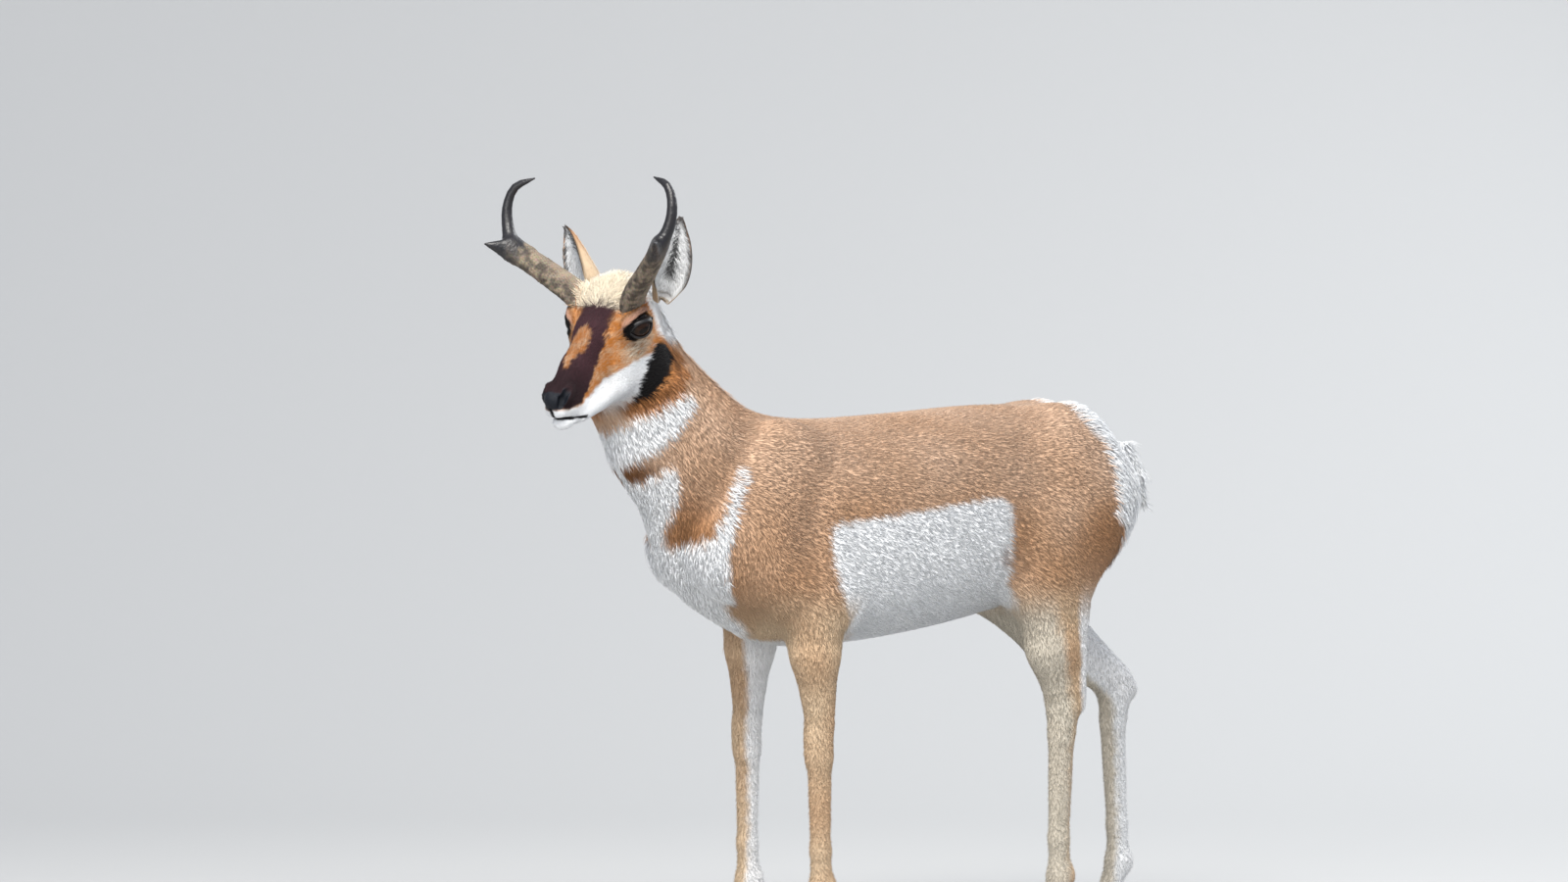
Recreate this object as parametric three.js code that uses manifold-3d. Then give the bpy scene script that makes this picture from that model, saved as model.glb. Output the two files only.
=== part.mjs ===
// A pronghorn buck, life size, standing still with its head turned to its left.
// Millimetres. +X is forward along the body, +Y is the animal's left, +Z is up, and the hooves stand on z = 0.
// Flesh is one smooth field of rounded shapes over the joints of the skeleton. Each node is meshed from that
// field and parted from its neighbours by thin plane cuts. Horn, hoof, ear and lock are swept sections.
import * as THREE from "three";
import { mergeVertices } from "three/addons/utils/BufferGeometryUtils.js";
import Module from "manifold-3d";

const wasm = await Module();
wasm.setup();

// Driving dimensions
const GAP = 0.3; // clearance between two nodes that touch
const WELD = 0.02; // two vertices closer than this are one
const BODY_REAR = -463;
const BODY_FRONT = 394;
const HEAD_YAW = THREE.MathUtils.degToRad(32); // the head is turned to the left of the body
const HEAD_PITCH = THREE.MathUtils.degToRad(38); // the nose is carried low
const EYE_CENTRE = [516, 58, 1027]; // the midpoint between the eyes
const EYE_RADIUS = 22.5;
const EYE_SIDE = 54; // from the head's middle plane to an eyeball's centre
const EYE_BACK = -7; // the eyeball sits a little behind the line its corneas make
const EYE_OPENING = [20, 12.5]; // half length and half height of the gap between the lids
const EYE_TURN = 0.55; // the gap between the lids faces this far forward of sideways
const EAR_LENGTH = 142;
const SIDES = { left: 1, right: -1 };

// Joints of the legs: forward, outward and up
const FORELEGS = {
  left: { elbow: [160, 96, 560], knee: [150, 86, 338], fetlock: [147, 84, 110] },
  right: { elbow: [192, 96, 560], knee: [199, 86, 340], fetlock: [200, 84, 110] },
};
const HINDLEGS = {
  left: { stifle: [-236, 102, 596], hock: [-290, 86, 376], fetlock: [-284, 84, 112] },
  right: { stifle: [-236, 102, 590], hock: [-473, 86, 380], fetlock: [-477, 84, 112] },
};
const TOE_REACH = 80; // from a fetlock forward to the tip of its hoof
const HOOF = { length: 66, width: 23, toe: 46, heel: 25, lean: 34 }; // one claw, with its wall's heights
const HEAD_ROLL = THREE.MathUtils.degToRad(-3); // its left side a little low
const HORN_ROLL = THREE.MathUtils.degToRad(4.5); // the horns stand level on it

// Small vector helpers on plain arrays
const mix = (a, b, t) => a + (b - a) * t;
const between = (p, q, t) => p.map((value, i) => mix(value, q[i], t));
const clamp = THREE.MathUtils.clamp;

// Smooth minimum of two distances, rounded over the width k
function blendMin(a, b, k) {
  const overlap = Math.max(k - Math.abs(a - b), 0) / k;
  return Math.min(a, b) - (overlap * overlap * k) / 4;
}

// Distance to an ellipsoid, turned nose down by pitch about Y and sideways by yaw about Z
function ellipsoid(centre, radii, pitch = 0, yaw = 0) {
  const turn = new THREE.Matrix4()
    .makeRotationFromEuler(new THREE.Euler(0, pitch, yaw, "ZYX"))
    .setPosition(...centre)
    .invert().elements;
  return (x, y, z) => {
    const u = (turn[0] * x + turn[4] * y + turn[8] * z + turn[12]) / radii[0];
    const v = (turn[1] * x + turn[5] * y + turn[9] * z + turn[13]) / radii[1];
    const w = (turn[2] * x + turn[6] * y + turn[10] * z + turn[14]) / radii[2];
    const reach = Math.hypot(u, v, w) + 1e-9;
    const slope = Math.hypot(u / radii[0], v / radii[1], w / radii[2]) + 1e-9;
    return (reach * (reach - 1)) / slope;
  };
}

// Distance to a chain of tapered round pieces through joints [x, y, z, radius], flattened sideways by a share
function limb(joints, flat = 1, blend = 10) {
  const pieces = joints.slice(1).map((end, i) => {
    const start = joints[i];
    const along = [end[0] - start[0], end[1] - start[1], end[2] - start[2]];
    const square = along[0] ** 2 + along[1] ** 2 + along[2] ** 2;
    return { start, end, along, square };
  });
  return (x, y, z) => {
    let nearest = Infinity;
    for (const { start, end, along, square } of pieces) {
      const dx = x - start[0];
      const dy = y - start[1];
      const dz = z - start[2];
      const t = clamp((dx * along[0] + dy * along[1] + dz * along[2]) / square, 0, 1);
      const side = (dy - t * along[1]) / flat;
      const away = Math.hypot(dx - t * along[0], side, dz - t * along[2]) - mix(start[3], end[3], t);
      nearest = nearest === Infinity ? away : blendMin(nearest, away, blend);
    }
    return nearest;
  };
}

// A pair of one shape on both sides of a middle plane
function mirrored(shape) {
  return (x, y, z) => shape(x, Math.abs(y), z);
}

// Smooth curve through [x, value, value, ...] rows, read at any x
function stations(rows) {
  return (x) => {
    const last = rows.length - 1;
    let i = 0;
    while (i < last - 1 && x > rows[i + 1][0]) i += 1;
    const [p0, p1, p2, p3] = [rows[Math.max(i - 1, 0)], rows[i], rows[i + 1], rows[Math.min(i + 2, last)]];
    const t = clamp((x - p1[0]) / (p2[0] - p1[0]), 0, 1);
    return p1.slice(1).map((value, k) => {
      const span = p2[0] - p1[0];
      const rise1 = (p2[k + 1] - p0[k + 1]) / (p2[0] - p0[0]);
      const rise2 = (p3[k + 1] - p1[k + 1]) / (p3[0] - p1[0]);
      const t2 = t * t;
      const t3 = t2 * t;
      return (
        (2 * t3 - 3 * t2 + 1) * value +
        (t3 - 2 * t2 + t) * span * rise1 +
        (3 * t2 - 2 * t3) * p2[k + 1] +
        (t3 - t2) * span * rise2
      );
    });
  };
}

// Trunk: back line, belly line and half width along the body
const TRUNK = stations([
  [-467, 822, 672, 98],
  [-396, 859, 606, 122],
  [-330, 885, 572, 134],
  [-250, 890, 556, 134],
  [-140, 886, 527, 142],
  [-20, 877, 505, 152],
  [90, 872, 492, 149],
  [190, 872, 488, 132],
  [280, 846, 496, 112],
  [350, 800, 515, 96],
  [402, 750, 545, 84],
]);
const TRUNK_END = 4.2; // how square the trunk's two ends are
const TRUNK_SECTION = 2.25; // how square its cross-section is

function trunk(x, y, z) {
  const middle = (BODY_REAR + BODY_FRONT) / 2;
  const half = (BODY_FRONT - BODY_REAR) / 2;
  const [top, bottom, width] = TRUNK(clamp(x, BODY_REAR, BODY_FRONT));
  const height = (top - bottom) / 2;
  const sum =
    Math.abs(y / width) ** TRUNK_SECTION +
    Math.abs((z - (top + bottom) / 2) / height) ** TRUNK_SECTION +
    Math.abs((x - middle) / half) ** TRUNK_END;
  return (sum ** (1 / TRUNK_SECTION) - 1) * Math.min(width, height) * 0.85;
}

// Head, in its own frame: +X to the nose, +Y left, +Z up, from the midpoint between the eyes
const headPlace = new THREE.Matrix4()
  .makeRotationFromEuler(new THREE.Euler(HEAD_ROLL, HEAD_PITCH, HEAD_YAW, "ZYX"))
  .setPosition(...EYE_CENTRE);
const hornPlace = headPlace.clone().multiply(new THREE.Matrix4().makeRotationX(HORN_ROLL));
const headBack = headPlace.clone().invert().elements;

const headShapes = [
  [ellipsoid([-42, 0, -10], [58, 54, 44]), 20], // brain case
  [ellipsoid([8, 0, 4], [64, 46, 36], 0.14), 24], // forehead
  [mirrored(ellipsoid([-10, 49, 1], [34, 27, 31])), 14], // eye sockets
  [mirrored(limb([[-26, 38, 10, 20], [-27, 48, 28, 17]])), 10], // burrs that carry the horns
  [limb([[40, 0, 2, 34], [110, 0, -1, 26], [168, 0, -6, 21]], 0.9), 20], // nose bridge
  [limb([[50, 0, -30, 38], [118, 0, -30, 31], [166, 0, -26, 25]], 0.84), 18], // upper jaw
  [mirrored(ellipsoid([6, 33, -50], [66, 21, 50], 0.2)), 18], // chewing muscles
  [mirrored(limb([[-20, 26, -82, 27], [60, 21, -77, 22], [150, 10, -58, 15]])), 16], // lower jaw
  [limb([[20, 0, -74, 30], [100, 0, -66, 24], [160, 0, -50, 16]]), 16], // floor of the mouth
  [ellipsoid([180, 0, -48], [24, 18, 15], -0.25), 8], // chin
  [limb([[150, 0, -34, 22], [188, 0, -20, 17]], 1.15), 8], // upper lip
  [ellipsoid([184, 0, -3], [20, 18, 19]), 8], // nose pad
  [mirrored(ellipsoid([172, 17, 0], [21, 11, 15])), 6], // nostril wings
  [ellipsoid([-58, 0, -48], [50, 44, 62]), 24], // throat
];

function head(x, y, z) {
  const u = headBack[0] * x + headBack[4] * y + headBack[8] * z + headBack[12];
  const v = headBack[1] * x + headBack[5] * y + headBack[9] * z + headBack[13];
  const w = headBack[2] * x + headBack[6] * y + headBack[10] * z + headBack[14];
  return headShapes.reduce((sum, [shape, blend]) => blendMin(sum, shape(u, v, w), blend), 1e3);
}

// Neck: a deep, narrow column from the shoulders up to the back of the skull
const neck = limb(
  [
    [268, 0, 728, 140],
    [380, 2, 844, 107],
    [440, 6, 928, 89],
    [470, 14, 1000, 76],
    [478, 22, 1040, 56],
  ],
  0.68,
  40,
);

// The middle of a hoof's crown, where its two claws meet the pastern
function crownCentre(fetlock) {
  const toe = fetlock[0] + TOE_REACH;
  return [toe - HOOF.lean - (HOOF.length - HOOF.lean) / 2, fetlock[1], (HOOF.toe + HOOF.heel) / 2 - 4];
}

const at = (joint, side) => [joint[0], joint[1] * side, joint[2]];

// Foreleg of one side: shoulder, upper arm, forearm, cannon and pastern
function foreleg(name) {
  const side = SIDES[name];
  const { elbow, knee, fetlock } = FORELEGS[name];
  const point = (joint, radius, dx = 0, dy = 0, dz = 0) => [
    joint[0] + dx,
    (joint[1] + dy) * side,
    joint[2] + dz,
    radius,
  ];
  return [
    [limb([[215, 74 * side, 815, 50], [300, 98 * side, 665, 70]], 0.62, 20), 50], // shoulder blade
    [limb([[300, 84 * side, 655, 70], point(elbow, 62, 12, -8, 36)], 0.7, 20), 40], // upper arm
    [limb([[140, 80 * side, 720, 60], point(elbow, 56, -18, -6, 30)], 0.6, 20), 40], // triceps
    [limb([point(elbow, 48, 2, -6, 0), point(elbow, 42, 2, -5, -70), point(knee, 27, 1, 0, 42)], 0.84, 20), 26],
    [limb([point(knee, 27, 4, 0, 18), point(knee, 26, 3, 0, -12)], 0.9), 14], // knee
    [limb([point(knee, 21, 2, 0, -30), point(fetlock, 17.5, 2, 0, 60), point(fetlock, 20, 0, 0, 8)], 0.82), 14],
    [ellipsoid(at([fetlock[0] - 3, fetlock[1], fetlock[2] - 2], side), [24, 21, 24]), 12],
    [limb([point(fetlock, 19, 0, 0, -6), point(crownCentre(fetlock), 20)], 1.08), 12], // pastern
  ];
}

// Hind leg of one side: rump, thigh, second thigh, hock, cannon and pastern
function hindleg(name) {
  const side = SIDES[name];
  const { stifle, hock, fetlock } = HINDLEGS[name];
  const point = (joint, radius, dx = 0, dy = 0, dz = 0) => [
    joint[0] + dx,
    (joint[1] + dy) * side,
    joint[2] + dz,
    radius,
  ];
  const back = between([-308, 84, 600], hock, 0.3);
  return [
    [limb([[-300, 62 * side, 800, 78], [-356, 64 * side, 730, 70]], 0.85, 20), 50], // rump
    [ellipsoid([-288, 78 * side, 700], [104, 64, 140], -0.2), 50], // thigh
    [limb([[-262, 82 * side, 690, 78], point(stifle, 54, 4, -12, 10)], 0.72, 20), 40], // front of the thigh
    [limb([[-344, 74 * side, 690, 52], [-298, 80 * side, 600, 42]], 0.7, 20), 40], // back of the thigh
    [limb([point(stifle, 58, -14, -12, -6), point(between(stifle, hock, 0.5), 44), point(hock, 30, 6, 0, 30)], 0.74, 20), 36],
    [limb([[-298, 82 * side, 600, 39], point(back, 31), point(hock, 15, -26, 0, 16)], 0.7, 12), 34], // heel cord
    [limb([point(hock, 31, 2, 0, 8), point(hock, 26, 4, 0, -26)], 0.8), 14], // hock
    [limb([point(hock, 23, 5, 0, -44), point(fetlock, 18, 2, 0, 60), point(fetlock, 20, 0, 0, 8)], 0.8), 14],
    [ellipsoid(at([fetlock[0] - 3, fetlock[1], fetlock[2] - 2], side), [24, 20, 24]), 12],
    [limb([point(fetlock, 19, 0, 0, -6), point(crownCentre(fetlock), 19)], 1.08), 12], // pastern
  ];
}

// Tail: short, hanging close against the rump
const TAIL_ROOT = [-445, 0, 804];
const TAIL_TIP = [-480, 0, 716];
const tail = limb([[...TAIL_ROOT, 18], [...between(TAIL_ROOT, TAIL_TIP, 0.5), 21], [...TAIL_TIP, 11]], 1.1, 8);

const legShapes = [
  ...["left", "right"].flatMap((name) => foreleg(name)),
  ...["left", "right"].flatMap((name) => hindleg(name)),
];

// The whole animal's flesh, under 0 inside
function flesh(x, y, z) {
  let sum = blendMin(trunk(x, y, z), neck(x, y, z), 60);
  for (const [shape, blend] of legShapes) sum = blendMin(sum, shape(x, y, z), blend);
  return blendMin(sum, head(x, y, z), 30);
}

// Lattice lines across a span, a step apart, or finer inside [from, to, step] ranges
function lattice(low, high, spacing, shift) {
  const [step, ...finer] = [spacing].flat();
  const lines = [Math.floor(low / step - 1) * step + shift * step];
  while (lines.at(-1) < high + step) {
    const here = lines.at(-1);
    const range = finer.find(([from, to]) => here >= from && here < to);
    lines.push(here + (range ? range[2] : step));
  }
  return lines;
}

// A surface net whose every edge has two faces: where two sheets touch along an edge, the lattice is shifted
function surfaceNet(field, low, high, cell, place = new THREE.Matrix4()) {
  for (let shift = 0; shift < 1; shift += 0.15) {
    const geometry = netOnce(field, low, high, cell, place, shift);
    const seen = new Map();
    const { array } = geometry.index;
    for (let i = 0; i < array.length; i += 1) {
      const [a, b] = [array[i], array[i % 3 === 2 ? i - 2 : i + 1]];
      const key = Math.min(a, b) * 1e6 + Math.max(a, b);
      seen.set(key, (seen.get(key) ?? 0) + 1);
    }
    if (![...seen.values()].some((faces) => faces > 2)) return geometry;
  }
  throw new Error("no shift of the lattice parts the sheets");
}

// Meshes where the field is under 0 inside a box, as a surface net on a lattice that may be turned by place
function netOnce(field, low, high, cell, place, shift) {
  const e = place.elements;
  const lines = low.map((value, i) => lattice(value, high[i], cell[i], shift));
  const [nx, ny, nz] = lines.map((list) => list.length);
  const smallest = Math.min(...lines.map((list) => list[1] - list[0]));
  const world = (x, y, z) => [
    e[0] * x + e[4] * y + e[8] * z + e[12],
    e[1] * x + e[5] * y + e[9] * z + e[13],
    e[2] * x + e[6] * y + e[10] * z + e[14],
  ];
  const inside = (x, y, z) => {
    const box = Math.max(low[0] - x, x - high[0], low[1] - y, y - high[1], low[2] - z, z - high[2]);
    return Math.max(field(...world(x, y, z)), box + 0.4 * smallest);
  };
  const corner = (i, j, k) => (k * ny + j) * nx + i;
  const values = new Float64Array(nx * ny * nz);
  for (let k = 0; k < nz; k += 1)
    for (let j = 0; j < ny; j += 1)
      for (let i = 0; i < nx; i += 1)
        values[corner(i, j, k)] = inside(lines[0][i], lines[1][j], lines[2][k]);

  const points = [];
  const pointOf = new Map();
  const cellPoint = (i, j, k) => {
    const key = corner(i, j, k);
    if (!pointOf.has(key)) {
      pointOf.set(key, points.length / 3);
      points.push(...settle([i, j, k]));
    }
    return pointOf.get(key);
  };
  // The mean of the cell's edge crossings, then moved onto the surface by three Newton steps
  const settle = (index) => {
    const sum = [0, 0, 0];
    let crossings = 0;
    for (let axis = 0; axis < 3; axis += 1)
      for (let other = 0; other < 4; other += 1) {
        const from = [...index];
        from[(axis + 1) % 3] += other & 1;
        from[(axis + 2) % 3] += other >> 1;
        const to = [...from];
        to[axis] += 1;
        const a = values[corner(...from)];
        const b = values[corner(...to)];
        if (a < 0 === b < 0) continue;
        const t = a / (a - b);
        for (let m = 0; m < 3; m += 1) sum[m] += mix(lines[m][from[m]], lines[m][to[m]], t);
        crossings += 1;
      }
    const first = sum.map((value) => value / crossings);
    const lowest = index.map((i, m) => mix(lines[m][i], lines[m][i + 1], 0.06));
    const highest = index.map((i, m) => mix(lines[m][i], lines[m][i + 1], 0.94));
    let [x, y, z] = first;
    const step = 0.5;
    for (let round = 0; round < 3; round += 1) {
      const value = inside(x, y, z);
      const gx = (inside(x + step, y, z) - inside(x - step, y, z)) / (2 * step);
      const gy = (inside(x, y + step, z) - inside(x, y - step, z)) / (2 * step);
      const gz = (inside(x, y, z + step) - inside(x, y, z - step)) / (2 * step);
      const square = gx * gx + gy * gy + gz * gz + 1e-6;
      x = clamp(x - (value * gx) / square, lowest[0], highest[0]);
      y = clamp(y - (value * gy) / square, lowest[1], highest[1]);
      z = clamp(z - (value * gz) / square, lowest[2], highest[2]);
    }
    return world(x, y, z);
  };
  const faces = [];
  const quad = (a, b, c, d) => {
    const gap = (p, q) =>
      Math.hypot(points[3 * p] - points[3 * q], points[3 * p + 1] - points[3 * q + 1], points[3 * p + 2] - points[3 * q + 2]);
    if (gap(a, c) < gap(b, d)) faces.push(a, b, c, a, c, d);
    else faces.push(a, b, d, b, c, d);
  };
  for (let k = 1; k < nz - 1; k += 1)
    for (let j = 1; j < ny - 1; j += 1)
      for (let i = 1; i < nx - 1; i += 1) {
        const here = values[corner(i, j, k)] < 0;
        const cases = [
          [[1, 0, 0], [0, 1, 0], [0, 0, 1]],
          [[0, 1, 0], [0, 0, 1], [1, 0, 0]],
          [[0, 0, 1], [1, 0, 0], [0, 1, 0]],
        ];
        for (const [ahead, s, t] of cases) {
          if (here === values[corner(i + ahead[0], j + ahead[1], k + ahead[2])] < 0) continue;
          const ring = [
            cellPoint(i - s[0] - t[0], j - s[1] - t[1], k - s[2] - t[2]),
            cellPoint(i - t[0], j - t[1], k - t[2]),
            cellPoint(i, j, k),
            cellPoint(i - s[0], j - s[1], k - s[2]),
          ];
          if (here) quad(...ring);
          else quad(...ring.reverse());
        }
      }
  return geometryOf(points, faces);
}

// The flesh's own mesh with every vertex moved outward, so that what grows from it can be cut clear of it
function grown(geometry, amount) {
  const wider = geometry.clone();
  const place = wider.attributes.position;
  for (let i = 0; i < place.count; i += 1) {
    const [x, y, z] = [place.getX(i), place.getY(i), place.getZ(i)];
    const step = 0.5;
    const slope = new THREE.Vector3(
      flesh(x + step, y, z) - flesh(x - step, y, z),
      flesh(x, y + step, z) - flesh(x, y - step, z),
      flesh(x, y, z + step) - flesh(x, y, z - step),
    ).setLength(amount);
    place.setXYZ(i, x + slope.x, y + slope.y, z + slope.z);
  }
  return wider;
}

function geometryOf(points, faces) {
  return new THREE.BufferGeometry()
    .setAttribute("position", new THREE.Float32BufferAttribute(points, 3))
    .setIndex(faces);
}

// A closed three.js geometry as a solid that can be joined and cut
function solidOf(geometry) {
  const bare = geometry.clone();
  bare.deleteAttribute("normal");
  bare.deleteAttribute("uv");
  const merged = mergeVertices(bare, 1e-3);
  return new wasm.Manifold(
    new wasm.Mesh({
      numProp: 3,
      vertProperties: new Float32Array(merged.attributes.position.array),
      triVerts: new Uint32Array(merged.index.array),
    }),
  );
}

// The same surface with every edge shorter than the weld closed up, which cuts leave where they graze a vertex
function welded(geometry) {
  const merged = mergeVertices(geometry, WELD);
  const faces = [];
  const { array } = merged.index;
  for (let i = 0; i < array.length; i += 3) {
    const [a, b, c] = array.slice(i, i + 3);
    if (a !== b && b !== c && c !== a) faces.push(a, b, c);
  }
  return merged.setIndex(faces);
}

// The largest closed surface of a solid, as a named mesh
function nodeMesh(name, solid, colour, roughness) {
  const largest = solid.decompose().reduce((a, b) => (a.volume() > b.volume() ? a : b));
  const { vertProperties, triVerts } = largest.getMesh();
  const geometry = welded(geometryOf(Array.from(vertProperties), Array.from(triVerts)));
  geometry.computeVertexNormals();
  const mesh = new THREE.Mesh(geometry, new THREE.MeshStandardMaterial({ color: colour, roughness, metalness: 0 }));
  mesh.name = name;
  return mesh;
}

// A box between two corners, grown or shrunk on every side
function block(low, high, grow = 0) {
  const size = low.map((value, i) => high[i] - value + 2 * grow);
  const centre = low.map((value, i) => (value + high[i]) / 2);
  return solidOf(new THREE.BoxGeometry(...size).translate(...centre));
}

// A closed sweep of rings; each ring is a list of points, and both ends are closed by a fan
function sweep(rings) {
  const sides = rings[0].length;
  const points = rings.flat(2);
  const faces = [];
  for (let i = 0; i + 1 < rings.length; i += 1)
    for (let j = 0; j < sides; j += 1) {
      const a = i * sides + j;
      const b = i * sides + ((j + 1) % sides);
      faces.push(a, b, b + sides, a, b + sides, a + sides);
    }
  const last = (rings.length - 1) * sides;
  for (let j = 1; j + 1 < sides; j += 1) {
    faces.push(0, j + 1, j);
    faces.push(last, last + j, last + j + 1);
  }
  return geometryOf(points, facingOut(points, faces));
}

// Faces in the order that looks outward, whichever way round their rings were listed
function facingOut(points, faces) {
  const corner = (i) => new THREE.Vector3().fromArray(points, 3 * i);
  let volume = 0;
  for (let i = 0; i < faces.length; i += 3) {
    const [a, b, c] = [corner(faces[i]), corner(faces[i + 1]), corner(faces[i + 2])];
    volume += a.dot(b.cross(c));
  }
  return volume < 0 ? faces.reverse() : faces;
}

// A tube of oval sections along a smooth curve; size(t) gives its half width and half depth, and the width
// lies along the direction wide as far as the curve lets it
function horn(points, size, wide, count, sides) {
  const curve = new THREE.CatmullRomCurve3(points.map((p) => new THREE.Vector3(...p)), false, "centripetal");
  const rings = [];
  for (let i = 0; i <= count; i += 1) {
    const t = i / count;
    const centre = curve.getPointAt(t);
    const along = curve.getTangentAt(t);
    const across = new THREE.Vector3(...wide).addScaledVector(along, -along.dot(new THREE.Vector3(...wide)));
    across.normalize();
    const deep = new THREE.Vector3().crossVectors(along, across);
    const [width, depth] = size(t);
    const ring = [];
    for (let j = 0; j < sides; j += 1) {
      const angle = (2 * Math.PI * j) / sides;
      const p = centre
        .clone()
        .addScaledVector(across, width * Math.cos(angle))
        .addScaledVector(deep, depth * Math.sin(angle));
      ring.push(p.toArray());
    }
    rings.push(ring);
  }
  return sweep(rings);
}

// A horn sheath: a flat blade that leans out, a forward prong at the fork, and a round hook that turns in and back
const HORN_PATH = [
  [-18, 40, 2],
  [-28, 54, 33],
  [-33, 97, 79],
  [-37, 141, 126],
  [-64, 158, 152],
  [-88, 160, 176],
  [-108, 148, 194],
  [-124, 116, 199],
];
const PRONG_PATH = [
  [-42, 122, 108],
  [-24, 143, 134],
  [-12, 156, 151],
  [-3, 165, 163],
];
const hornSize = stations([
  [0, 27, 18],
  [0.2, 26, 17],
  [0.42, 24, 14],
  [0.54, 22, 12.5],
  [0.62, 12, 10],
  [0.78, 8.4, 7.6],
  [0.92, 5.5, 5.5],
  [1, 1.2, 1.2],
]);
const prongSize = stations([
  [0, 12, 9],
  [0.4, 18, 8],
  [0.75, 9, 6],
  [1, 1.2, 1.2],
]);

const sided = (points, side) => points.map(([x, y, z]) => [x, y * side, z]);

function hornSolid(side, grow = 0) {
  const wider = (size) => (t) => size(t).map((value) => value + grow);
  const beam = horn(sided(HORN_PATH, side), wider(hornSize), [1, 0, 0.25], 22, 10);
  const prong = horn(sided(PRONG_PATH, side), wider(prongSize), [0.7, 0, -0.7], 6, 8);
  return solidOf(beam.applyMatrix4(hornPlace)).add(solidOf(prong.applyMatrix4(hornPlace)));
}

// An ear: a leaf-shaped cup whose two edges curl forward, closed to a tube at its root
const EAR_ROOT = [-86, 54, -14];
// The tips, and the ways the cups open, of the left and right ears as the head holds them
const EAR_TIPS = { 1: [-141, 108, 106], [-1]: [-162, 153, 54] };
const EAR_FACES = { 1: [0.75, 0.62, 0.08], [-1]: [0.9, 0.2, 0.3] };
const EAR_WALL = 2.6;
const earShape = stations([
  [0, 15, 150],
  [0.15, 22, 132],
  [0.32, 29, 105],
  [0.55, 30, 84],
  [0.75, 23, 74],
  [0.9, 12, 66],
  [1, 2.5, 60],
]);

function earSolid(side) {
  const tip = EAR_TIPS[side];
  const up = new THREE.Vector3(tip[0] - EAR_ROOT[0], (tip[1] - EAR_ROOT[1]) * side, tip[2] - EAR_ROOT[2]);
  up.normalize();
  const face = new THREE.Vector3(EAR_FACES[side][0], EAR_FACES[side][1] * side, EAR_FACES[side][2]);
  face.addScaledVector(up, -face.dot(up)).normalize();
  const across = new THREE.Vector3().crossVectors(up, face);
  const root = new THREE.Vector3(EAR_ROOT[0], EAR_ROOT[1] * side, EAR_ROOT[2]);
  const rows = 10;
  const steps = 7;
  const rings = [];
  for (let i = 0; i <= rows; i += 1) {
    const t = i / rows;
    const [width, curl] = earShape(t);
    const sweepAngle = THREE.MathUtils.degToRad(curl);
    const radius = width / Math.sin(Math.min(sweepAngle, Math.PI / 2));
    const centre = root
      .clone()
      .addScaledVector(up, t * EAR_LENGTH)
      .addScaledVector(face, 9 * Math.sin(Math.PI * t) - 10 * t * t);
    const place = (angle, r) =>
      centre
        .clone()
        .addScaledVector(across, r * Math.sin(angle))
        .addScaledVector(face, radius - r * Math.cos(angle) - radius * 0.5)
        .toArray();
    const ring = [];
    const wall = mix(EAR_WALL, 1.2, t);
    for (let j = 0; j <= steps; j += 1) ring.push(place(mix(-1, 1, j / steps) * sweepAngle, radius));
    for (let j = steps; j >= 0; j -= 1) ring.push(place(mix(-1, 1, j / steps) * sweepAngle, radius - wall));
    rings.push(ring);
  }
  return solidOf(sweep(rings).applyMatrix4(headPlace));
}

// Skin folds of the head: the opening between the lids, the nostrils and the line of the mouth
function eyeOpening(side) {
  const outline = new THREE.Shape();
  const [length, height] = EYE_OPENING;
  outline.moveTo(-length, 2);
  outline.quadraticCurveTo(-4, height + 9, length, -3);
  outline.quadraticCurveTo(-2, -height - 9, -length, 2);
  const depth = 60;
  const prism = new THREE.ExtrudeGeometry(outline, { depth, bevelEnabled: false, curveSegments: 4 });
  // The prism stands along Y, with its outline's first axis forward
  prism.rotateX(Math.PI / 2);
  prism.translate(0, side > 0 ? depth : 0, 0);
  prism.rotateZ(-side * EYE_TURN);
  prism.translate(EYE_BACK, side * EYE_SIDE, -4);
  return solidOf(prism.applyMatrix4(headPlace));
}

function eyeBall(side, radius, across, up) {
  const ball = new THREE.SphereGeometry(radius, across, up).rotateX(Math.PI / 2);
  return solidOf(ball.translate(EYE_BACK, EYE_SIDE * side, -4).applyMatrix4(headPlace));
}

function nostril(side) {
  const pit = horn(
    sided([[166, 27, 9], [178, 20, 6], [188, 13, -1], [197, 12, -8]], side),
    (t) => [mix(2.5, 4.6, Math.sin(Math.PI * t)), mix(2.2, 8, Math.sin(Math.PI * t))],
    [0, 1, 0.4],
    5,
    7,
  );
  return solidOf(pit.applyMatrix4(headPlace));
}

// The slit between the lips runs round the front of the muzzle and back along both sides
const MOUTH = [
  { x: 206, y: 0, z: -24, deep: 22 },
  { x: 190, y: 22, z: -33, deep: 17 },
  { x: 162, y: 29, z: -48, deep: 12 },
  { x: 134, y: 36, z: -60, deep: 9 },
];
const LIP_GAP = 1.3;

function mouthSlit(side) {
  const rings = MOUTH.map(({ x, y, z, deep }, i) => {
    const half = i === MOUTH.length - 1 ? LIP_GAP / 4 : LIP_GAP / 2;
    const out = i === 0 ? [1, 0] : [0.35, 0.94];
    const far = [x + 12 * out[0], (y + 12 * out[1]) * side];
    const near = [x - deep * out[0], (y - deep * out[1]) * side];
    return [
      [...far, z - half],
      [...near, z - half],
      [...near, z + half],
      [...far, z + half],
    ];
  });
  return solidOf(sweep(rings).applyMatrix4(headPlace));
}

// A hoof claw: a pointed sole that narrows up to the crown, flat on its inner side, with its crown on a slant
function crownHeight(x, toe) {
  const forward = (x - (toe - HOOF.length)) / (HOOF.length - HOOF.lean);
  return mix(HOOF.heel, HOOF.toe, forward);
}

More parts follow.
